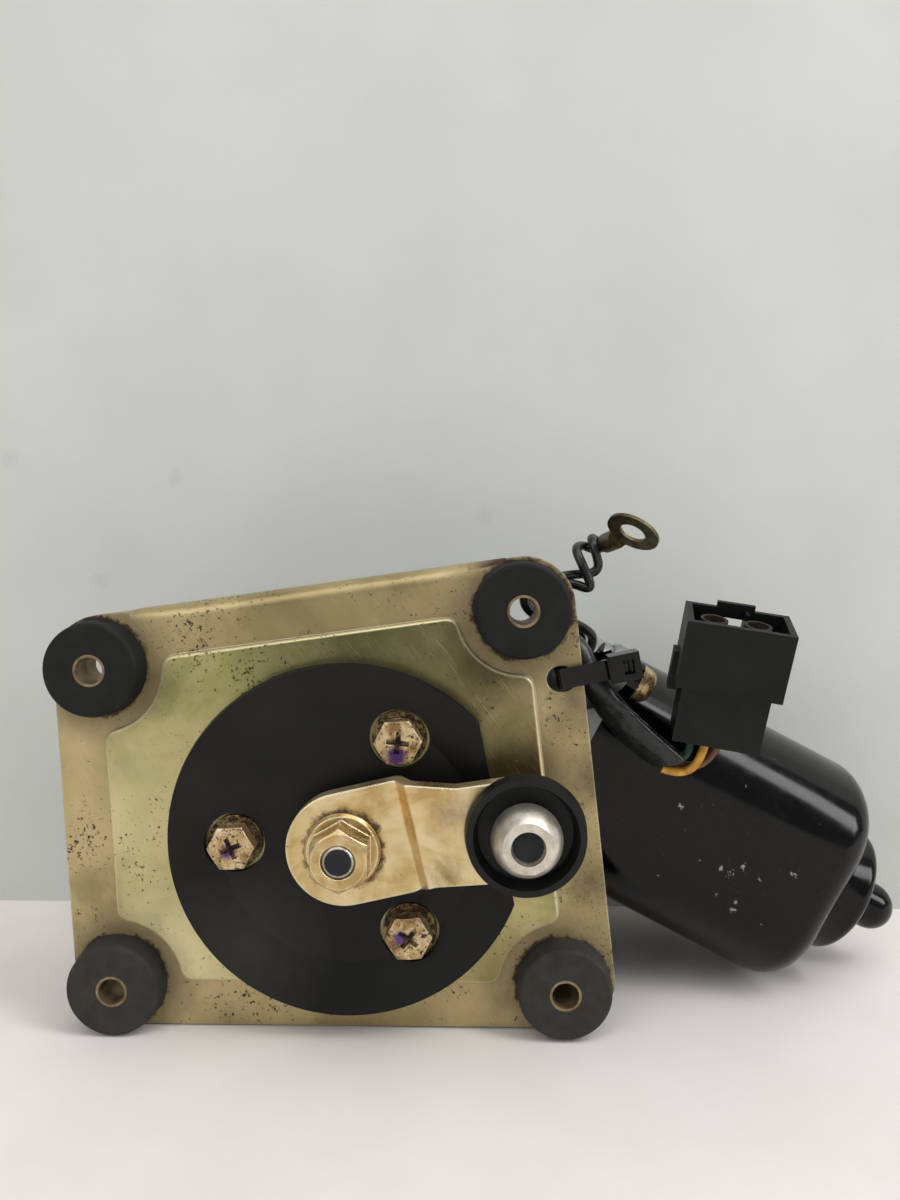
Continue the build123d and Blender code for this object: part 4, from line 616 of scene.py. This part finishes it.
# pieces that look unlike the rest of their slot
special = {
    "plate_washers": washerZinc, "plate_spring_washers": washerZinc, "crank_arm": crankZinc,
    "crank_nut": nutZinc, "output_shaft": studSteel, "ball_pin": studSteel,
    "bush_sleeves": materials["sleeveSteel"], "bush_bottom_left": materials["dustyRubber"],
    "bush_bottom_right": materials["dustyRubber"],
}
for subpart in frame["record"]["subparts"]:
    for filled in nodes[subpart["node"]].material_slots:
        filled.material = special.get(subpart["node"], materials[subpart["material_slot"]])
print("materials made:", len(materials))


def splineThrough(name, points, diameter=None, material=None):
    # a smooth spline that these points steer; with a diameter it is a round cord with closed ends
    curve = bpy.data.curves.new(name, "CURVE")
    curve.dimensions = "3D"
    curve.resolution_u = 10
    line = curve.splines.new("NURBS")
    line.points.add(len(points) - 1)
    for point, spot in zip(line.points, points):
        point.co = (*place(*spot), 1)
    line.order_u = 3
    line.use_endpoint_u = True
    if diameter:
        curve.bevel_depth = diameter / 2000
        curve.bevel_resolution = 5
        curve.use_fill_caps = True
        curve.materials.append(material)
    return newObject(name, curve)


def pointsAlong(name, points):
    # the smooth spline's own points, close together
    guide = splineThrough(name, points)
    bpy.context.view_layer.update()
    mesh = bpy.data.meshes.new_from_object(guide)
    found = [v.co.copy() for v in mesh.vertices]
    bpy.data.meshes.remove(mesh)
    bpy.data.objects.remove(guide)
    return found


def joinLoops(mesh, loops):
    # faces between each loop of vertices and the next; a loop may be a single vertex
    for one, two in zip(loops, loops[1:]):
        for i in range(max(len(one), len(two))):
            j = i + 1
            corners = [one[i % len(one)], one[j % len(one)], two[j % len(two)], two[i % len(two)]]
            mesh.faces.new(list(dict.fromkeys(corners)))


def finishedPiece(name, mesh, material, keepsEdges=None):
    # a bmesh made an object, its faces outward, shaded smooth but for edges sharper than this
    bmesh.ops.recalc_face_normals(mesh, faces=mesh.faces)
    made = bpy.data.meshes.new(name)
    mesh.to_mesh(made)
    mesh.free()
    made.materials.append(material)
    made.shade_smooth()
    if keepsEdges:
        made.set_sharp_from_angle(angle=math.radians(keepsEdges))
    return newObject(name, made)


# the vinyl sleeve over the harness: a limp tube that goes flat and wide towards its mouth,
# creased, kinked once and cut off on the slant; depths and sizes in mm
sleeve = {
    "route": [(48.3, 13.8, 43.7), (51.8, 10.4, 46.4), (56.4, 7.9, 44.8), (58.6, 6.2, 39.2),
              (61.8, 5.0, 34.0), (65.0, 5.2, 28.8), (70.6, 5.6, 23.4), (78.6, 5.8, 16.6)],
    "diameter": 7.7, "length": 47.4, "wall": 0.55, "round": 3.5, "wide": 5.1, "thin": 2.5,
    "flatFrom": 0.35, "flatOver": 0.4, "slantTurn": 1.5,
    "crease": {"deep": 1.19, "across": 6.5, "long": 11.0},
    "fold": {"deep": 0.256, "long": 3.4, "round": 0.8, "twist": 0.6},
    "wrinkle": {"deep": 0.16, "long": 3.4, "round": 2.4},
    "kink": {"at": 0.60, "long": 0.035, "high": 0.45, "turn": 0.4},
    # how much of a dent goes into the thickness and into the width
    "dentThin": 0.8, "dentWide": 0.6,
    # points in a ring, even rings and their spacing, and how far ahead a ring looks (as shares)
    "around": 72, "evenRings": 122, "spacing": 1 / 130, "ahead": 0.02,
    # rings towards the mouth and back inside it: share of the length, size, slant in metres
    "mouth": [(0.955, 1.0, 0.0010), (0.97, 1.0, 0.0019), (0.98, 0.99, 0.0023),
              (0.983, 0.95, 0.0023)],
    "inside": [(0.98, 0.0021), (0.95, 0.0010), (0.88, 0.0)],
}


def sleeveRadii(share, turn):
    # half the thickness (front to back) and half the width at one point round one ring
    pressed = min(max((share - sleeve["flatFrom"]) / sleeve["flatOver"], 0), 1)
    pressed = pressed * pressed * (3 - 2 * pressed)
    wide = sleeve["round"] + (sleeve["wide"] - sleeve["round"]) * pressed
    thin = sleeve["round"] + (sleeve["thin"] - sleeve["round"]) * pressed
    along = share * sleeve["length"]
    ring = Vector((math.cos(turn), math.sin(turn), 0))
    crease, fold, wrinkle, kink = (sleeve[part] for part in ("crease", "fold", "wrinkle", "kink"))
    # the constant parts of these vectors only pick a place in the noise
    creased = noise.noise(
        ring * (sleeve["diameter"] / 2 / crease["across"])
        + Vector((3.1, 0.7, along / crease["long"])))
    folded = noise.noise(Vector((
        ring.x * fold["round"], 4.2, along / fold["long"] + ring.y * fold["twist"])))
    wrinkled = noise.noise(ring * wrinkle["round"] + Vector((0, 9.0, along / wrinkle["long"])))
    dent = max(creased, 0) * crease["deep"] + folded * fold["deep"] + wrinkled * wrinkle["deep"]
    bulge = math.exp(-(((share - kink["at"]) / kink["long"]) ** 2)) * kink["high"]
    bulge *= max(math.sin(turn + kink["turn"]), 0)
    thin -= dent * sleeve["dentThin"]
    wide += bulge - dent * sleeve["dentWide"]
    return thin / 1000, wide / 1000


def sleeveSkin(path):
    # rings along the path: each has its share of the length, its size and its slant
    steps = [0.0]
    for a, b in zip(path, path[1:]):
        steps.append(steps[-1] + (b - a).length)

    def along(share):
        wanted = min(max(share, 0.0), 1.0) * steps[-1]
        for i in range(len(path) - 1):
            if steps[i + 1] >= wanted - 1e-12:
                t = (wanted - steps[i]) / max(steps[i + 1] - steps[i], 1e-12)
                return path[i].lerp(path[i + 1], t)
        return path[-1]

    rings = [(i * sleeve["spacing"], 1.0, 0.0) for i in range(sleeve["evenRings"])]
    inner = 1 - 2 * sleeve["wall"] / sleeve["diameter"]
    rings += sleeve["mouth"] + [(share, inner, slant) for share, slant in sleeve["inside"]]
    mesh = bmesh.new()
    side = Vector((0, 1, 0))
    loops = []
    for share, scale, slant in rings:
        # the direction is taken over a little of the path, so that rings don't crowd in its bends
        ahead = (along(share + sleeve["ahead"]) - along(share - sleeve["ahead"])).normalized()
        side = (side - ahead * side.dot(ahead)).normalized()
        up = ahead.cross(side)
        loop = []
        for i in range(sleeve["around"]):
            turn = 2 * math.pi * i / sleeve["around"]
            thin, wide = sleeveRadii(share, turn)
            offset = side * math.cos(turn) * thin * scale + up * math.sin(turn) * wide * scale
            shift = slant * math.cos(turn - sleeve["slantTurn"]) * ahead
            loop.append(mesh.verts.new(along(share) + offset + shift))
        loops.append(loop)
    joinLoops(mesh, loops)
    mesh.faces.new(list(reversed(loops[0])))
    mesh.faces.new(loops[-1])
    return mesh


sleevePath = pointsAlong("sleeveGuide", sleeve["route"])
harnessSleeve = finishedPiece("harnessSleeve", sleeveSkin(sleevePath), materials["vinyl"])
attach(harnessSleeve, "casing")
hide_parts("harness_sleeve")

# three wires from the sleeve's mouth to the back of the connector
wires = {
    "diameter": 2.1,
    "routes": {
        "wire_green": [(80.02, 5.8, 18.28), (82.3, 5.8, 17.4), (84.3, 6.4, 20.0),
                       (84.28, 7.34, 24.34)],
        "wire_yellow": [(77.18, 5.8, 14.92), (81.6, 5.4, 13.4), (86.8, 5.7, 16.6),
                        (87.97, 5.14, 23.39)],
        "wire_brown": [(78.76, 8.0, 16.86), (83.6, 7.6, 14.4), (90.2, 8.2, 16.6),
                       (92.46, 7.33, 23.51)],
    },
}
for name, route in wires["routes"].items():
    colour = name.split("_")[1].title()
    wire = splineThrough("wire" + colour, route, wires["diameter"], materials[name])
    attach(wire, "casing")
    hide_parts(name)

# two earth leads, tangled once round each other on their way to the ring
leads = {
    "earth_lead_upper": {
        "length": 72.8,
        "route": [(61.2, 21.8, 42.4), (62.2, 19.2, 46.0), (58.6, 15.6, 49.2), (53.4, 13.2, 51.4),
                  (47.4, 10.6, 51.4), (42.4, 9.6, 55.4), (43.6, 9.8, 60.6), (54.6, 14.8, 62.8),
                  (63.0, 15.6, 63.0), (60.6, 13.8, 70.4), (60.6, 18.6, 72.4), (62.98, 19.77, 70.7),
                  (64.72, 15.75, 71.74)],
    },
    "earth_lead_lower": {
        "length": 63.8,
        "route": [(58.5, 21.8, 43.7), (59.4, 20.6, 46.0), (55.6, 19.2, 49.4), (50.8, 16.6, 51.4),
                  (45.4, 14.0, 53.6), (43.4, 13.8, 57.0), (46.6, 14.2, 59.6), (54.6, 13.4, 61.0),
                  (60.6, 12.0, 58.6), (57.8, 11.8, 65.0), (55.9, 14.2, 69.6), (58.9, 20.6, 70.2),
                  (61.77, 18.75, 68.77), (63.5, 14.73, 69.81)],
    },
}
leadDiameter = 2.4
for name, lead in leads.items():
    end = name.split("_")[-1].title()
    piece = splineThrough("earthLead" + end, lead["route"], leadDiameter, materials["vinyl"])
    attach(piece, "casing")
    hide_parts(name)
print("cords made")

# the motor's can: pressed steel, round with two flats, its shoulders rolled over softly
can = {
    "origin": Vector((-0.0211019, 0.0168, 0.0831408)), "slope": 27.7, "from": 43.5, "to": 122.3,
    "radius": 31.75, "flat": 26.0, "shoulder": 20.0, "endRound": 8.0, "wall": 2.4,
    "step": 17.75, "stepTo": 132.5, "stepRound": 2.5, "hole": 4.4, "collar": 1.2,
    "ears": {"turns": (132, 312), "from": 27.0, "centre": 36.8, "radius": 5.0, "thick": 3.0,
             "hole": 2.75, "endSteps": 16, "holeSteps": 24},
    # mesh steps over a quarter of the section, then along the can
    "flatSteps": 5, "shoulderSteps": 9, "sideSteps": 12,
    "bodySteps": 6, "endSteps": 8, "collarSteps": 4, "topSteps": 5, "keepsEdges": 35,
}
canSlope = math.radians(can["slope"])
canAlong = Vector((math.cos(canSlope), 0, -math.sin(canSlope)))
canUp = Vector((math.sin(canSlope), 0, math.cos(canSlope)))


def onCan(deep, up, along):
    # a point of the can: deep is away from the plate, in mm from the motor's axis
    return can["origin"] + (Vector((0, deep, 0)) + canUp * up + canAlong * along) / 1000


def canOutline(inset):
    # one quarter of the section, flat, shoulder and round side, mirrored to a whole loop
    radius, flat = can["radius"] - inset, can["flat"] - inset
    bend = max(can["shoulder"] - inset, 1.0)
    centre = (flat - bend, math.sqrt((radius - bend) ** 2 - (flat - bend) ** 2))
    meets = math.atan2(centre[1], centre[0])
    quarter = [(flat, centre[1] * t) for t in shares(can["flatSteps"])[:-1]]
    quarter += [
        (centre[0] + bend * math.cos(meets * t), centre[1] + bend * math.sin(meets * t))
        for t in shares(can["shoulderSteps"])]
    rest = math.pi / 2 - meets
    quarter += [
        (radius * math.cos(meets + rest * t), radius * math.sin(meets + rest * t))
        for t in shares(can["sideSteps"], first=1)]
    half = quarter + [(-x, y) for x, y in reversed(quarter[:-1])]
    return half + [(x, -y) for x, y in reversed(half[1:-1])]


def canSkin(mesh):
    loops = []

    def ring(points, along):
        loops.append([mesh.verts.new(onCan(x, y, along)) for x, y in points])

    def circle(radius):
        turns = [math.atan2(y, x) for x, y in canOutline(0)]
        return [(radius * math.cos(a), radius * math.sin(a)) for a in turns]

    def bends(steps, first=0):
        # a quarter turn: how far it has come in, and how far short of its end it is, from 0 to 1
        turns = [math.pi / 2 * t for t in shares(can[steps], first)]
        return [(1 - math.cos(a), 1 - math.sin(a)) for a in turns]

    start, end, top, hole, wall = (can[key] for key in ("from", "to", "stepTo", "hole", "wall"))
    step, collar, endRound, topRound = (
        can[key] for key in ("step", "collar", "endRound", "stepRound"))
    # outside, from the open rim over the rolled end, up the collar and the step to its end;
    # a ring 0.4 or 0.5 mm before or after each bend keeps its shading off the flat beside it
    for t in shares(can["bodySteps"]):
        ring(canOutline(0), start + (end - endRound - start) * t)
    for come, short in bends("endSteps", first=1):
        ring(canOutline(endRound * come), end - endRound * short)
    ring(canOutline(endRound + 0.5), end)
    ring(circle(step + collar + 0.4), end)
    for come, short in bends("collarSteps"):
        ring(circle(step + collar * short), end + collar * come)
    ring(circle(step), top - topRound - 0.4)
    for come, short in bends("topSteps"):
        ring(circle(step - topRound * come), top - topRound * short)
    ring(circle(step - topRound - 0.5), top)
    # through the hole and back along the inside
    for radius, along in ((hole, top), (hole, top - wall), (step - wall, top - wall),
                          (step - wall, end - wall)):
        ring(circle(radius), along)
    ring(canOutline(wall), end - wall)
    ring(canOutline(wall), start)
    joinLoops(mesh, loops + loops[:1])


def canEar(mesh, turn):
    # a tab with a rounded end and a screw hole, standing out of the can's rim
    ears = can["ears"]
    out = Vector((math.cos(math.radians(turn)), math.sin(math.radians(turn))))
    side = Vector((-out.y, out.x))

    def arc(radius, turns):
        return [out * ears["centre"] + (out * math.cos(a) + side * math.sin(a)) * radius
                for a in turns]

    around = [out * ears["from"] - side * ears["radius"]]
    around += arc(ears["radius"], [math.pi * (t - 0.5) for t in shares(ears["endSteps"])])
    around += [out * ears["from"] + side * ears["radius"]]
    hole = arc(ears["hole"], [2 * math.pi * t for t in shares(ears["holeSteps"])[:-1]])
    made = []
    for along in (can["from"], can["from"] + ears["thick"]):
        edges = []
        for points in (around, hole):
            loop = [mesh.verts.new(onCan(p.x, p.y, along)) for p in points]
            edges += [mesh.edges.new((a, b)) for a, b in zip(loop, loop[1:] + loop[:1])]
            made.append(loop)
        bmesh.ops.triangle_fill(mesh, use_beauty=True, edges=edges)
    joinLoops(mesh, made[0::2])
    joinLoops(mesh, made[1::2])


canMesh = bmesh.new()
canSkin(canMesh)
for turn in can["ears"]["turns"]:
    canEar(canMesh, turn)
motorCan = finishedPiece("motorCan", canMesh, materials["black_enamel"], can["keepsEdges"])
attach(motorCan, "casing")
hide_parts("yoke")

# the casting's ear, a rounded lug that the can's screw goes into: radius and place of each ring
castLug = {
    "at": (-25.0, 27.8), "around": 40, "keepsEdges": 40,
    "profile": [(0, 37.0), (5.2, 37.4), (6.0, 38.4), (6.0, 42.0), (5.3, 43.2), (0, 43.3)],
}
lugMesh = bmesh.new()
lugLoops = []
for radius, along in castLug["profile"]:
    turns = [2 * math.pi * i / castLug["around"] for i in range(castLug["around"] if radius else 1)]
    deep, up = castLug["at"]
    lugLoops.append([
        lugMesh.verts.new(onCan(deep + radius * math.cos(a), up + radius * math.sin(a), along))
        for a in turns])
joinLoops(lugMesh, lugLoops)
castingLug = finishedPiece(
    "castingLug", lugMesh, materials["cast_alloy"], castLug["keepsEdges"])
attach(castingLug, "casing")

# the latch inside the cable tie's head: its floor, the pawl, the pawl's hinge and the bar at its
# mouth; a block has its spans along, into and across the head, and how far its edges are rounded
tieLatch = {
    "head": (51.4, 38.5), "along": 11.6, "tilt": 12.0, "keepsEdges": 40,
    "blocks": [((3.0, 5.6), (-0.4, 0.6), (-1.7, 1.7), 0.2),
               ((3.1, 4.0), (-3.0, 0.2), (-1.2, 1.2), 0.25),
               ((4.7, 5.5), (-2.2, 0.2), (-1.7, 1.7), 0.2),
               ((-0.5, 0.3), (-4.0, -2.2), (-2.9, 2.9), 0.3)],
}
latchMesh = bmesh.new()
tilt = math.radians(tieLatch["tilt"])
for *spans, soft in tieLatch["blocks"]:
    block = bmesh.new()
    bmesh.ops.create_cube(block, size=1)
    for v in block.verts:
        x, y, z = (a + (b - a) * (c + 0.5) for (a, b), c in zip(spans, v.co))
        x += tieLatch["along"]
        v.co = place(
            tieLatch["head"][0] + x * math.cos(tilt) - z * math.sin(tilt), y,
            tieLatch["head"][1] + x * math.sin(tilt) + z * math.cos(tilt))
    bmesh.ops.bevel(
        block, geom=block.edges[:], offset=soft / 1000, segments=2, affect="EDGES")
    blockMesh = bpy.data.meshes.new("tieBlock")
    block.to_mesh(blockMesh)
    block.free()
    latchMesh.from_mesh(blockMesh)
    bpy.data.meshes.remove(blockMesh)
latchPiece = finishedPiece(
    "tieLatch", latchMesh, materials["tie_nylon"], tieLatch["keepsEdges"])
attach(latchPiece, "casing")
print("can and tie latch made")

# dried grime in crumbs round the four bushes, scattered over the plate's own front; sizes in mm,
# the density in crumbs for a square metre, turns in radians
crumbs = {
    "seed": 7, "density": 1.5e6, "spacing": 0.28, "from": 12.0, "to": 15.4, "size": 0.34,
    "smallest": 0.35, "flat": 0.55, "turn": 6.28, "clumpSize": 4, "clumps": (0.4, 0.62),
    "facing": 0.5, "weld": 0.001,
}


def crumbTree():
    tree = bpy.data.node_groups.new("grimeCrumbs", "GeometryNodeTree")
    add = partial(addNode, tree)
    kinds = {"Plate": "Geometry", "Density": "Float", "Spacing": "Float", "From": "Float",
             "To": "Float", "Size": "Float", "Seed": "Int", "Grime": "Material"}
    for name, kind in kinds.items():
        tree.interface.new_socket(name, in_out="INPUT", socket_type="NodeSocket" + kind)
    tree.interface.new_socket("Crumbs", in_out="OUTPUT", socket_type="NodeSocketGeometry")
    given = add("NodeGroupInput").node.outputs
    # only on the front, outside the bushes, in clumps that thin out away from them
    position = add("GeometryNodeInputPosition")
    nearest = distanceTo(add, position, bushCentres, (1, 0, 1))
    outside = add(
        "FunctionNodeCompare", {0: nearest, 1: given["From"]},
        data_type="FLOAT", operation="GREATER_THAN")
    facing = add(
        "ShaderNodeVectorMath",
        {0: add("GeometryNodeInputNormal"), 1: (0, -1, 0)},
        operation="DOT_PRODUCT", out="Value")
    front = add(
        "FunctionNodeCompare", {0: facing, 1: crumbs["facing"]},
        data_type="FLOAT", operation="GREATER_THAN")
    here = add("FunctionNodeBooleanMath", {0: outside, 1: front}, operation="AND")
    thins = add(
        "ShaderNodeMapRange", {"Value": nearest, **between(given["From"], given["To"], 1.0, 0.0)})
    clumps = add(
        "ShaderNodeTexNoise",
        {"Vector": position, "Scale": perMetre(crumbs["clumpSize"]), "Detail": 2.0})
    clumps = add("ShaderNodeMapRange", {"Value": clumps, **between(*crumbs["clumps"])})
    dense = add("ShaderNodeMath", {0: thins, 1: clumps}, operation="MULTIPLY")
    points = add(
        "GeometryNodeDistributePointsOnFaces",
        {"Mesh": given["Plate"], "Selection": here, "Distance Min": given["Spacing"],
         "Density Max": given["Density"], "Density Factor": dense, "Seed": given["Seed"]},
        distribute_method="POISSON")
    crumb = add("GeometryNodeMeshIcoSphere", {"Radius": 0.5, "Subdivisions": 1})
    # every crumb has its own turn and size, and is squat
    turn = add(
        "FunctionNodeRandomValue",
        {"Min": (0, 0, 0), "Max": (crumbs["turn"],) * 3, "Seed": given["Seed"]},
        data_type="FLOAT_VECTOR")
    large = add(
        "FunctionNodeRandomValue", {2: crumbs["smallest"], 3: 1.0, "Seed": given["Seed"]},
        data_type="FLOAT", out=1)
    large = add("ShaderNodeMath", {0: large, 1: given["Size"]}, operation="MULTIPLY")
    squat = add("ShaderNodeMath", {0: large, 1: crumbs["flat"]}, operation="MULTIPLY")
    scale = add("ShaderNodeCombineXYZ", {"X": large, "Y": squat, "Z": large})
    placed = add(
        "GeometryNodeInstanceOnPoints",
        {"Points": points, "Instance": crumb, "Rotation": turn, "Scale": scale})
    whole = add("GeometryNodeRealizeInstances", {0: placed})
    coated = add("GeometryNodeSetMaterial", {"Geometry": whole, "Material": given["Grime"]})
    add("NodeGroupOutput", {0: coated})
    return tree


# the plate's faces are welded into one skin, so that no crumbs crowd where two of them meet
plateSkin = nodes["mounting_plate"].data.copy()
welded = bmesh.new()
welded.from_mesh(plateSkin)
bmesh.ops.remove_doubles(welded, verts=welded.verts, dist=crumbs["weld"] / 1000)
welded.to_mesh(plateSkin)
welded.free()
crumbsOn = newObject("crumbsOn", plateSkin)
grown = crumbsOn.modifiers.new("crumbs", "NODES")
grown.node_group = crumbTree()
wanted = {name.title(): crumbs[name] / 1000 for name in ("spacing", "from", "to", "size")}
wanted.update(Density=crumbs["density"], Seed=crumbs["seed"], Grime=materials["driedGrime"])
for socket in grown.node_group.interface.items_tree:
    if socket.item_type == "SOCKET" and socket.name in wanted:
        grown[socket.identifier] = wanted[socket.name]
bpy.context.view_layer.update()
evaluated = crumbsOn.evaluated_get(bpy.context.evaluated_depsgraph_get())
scattered = bpy.data.meshes.new_from_object(evaluated)
bpy.data.objects.remove(crumbsOn)
scattered.name = "grimeCrumbs"
grime = newObject("grimeCrumbs", scattered)
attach(grime, "casing")
print("grime crumbs:", len(scattered.polygons), "faces")
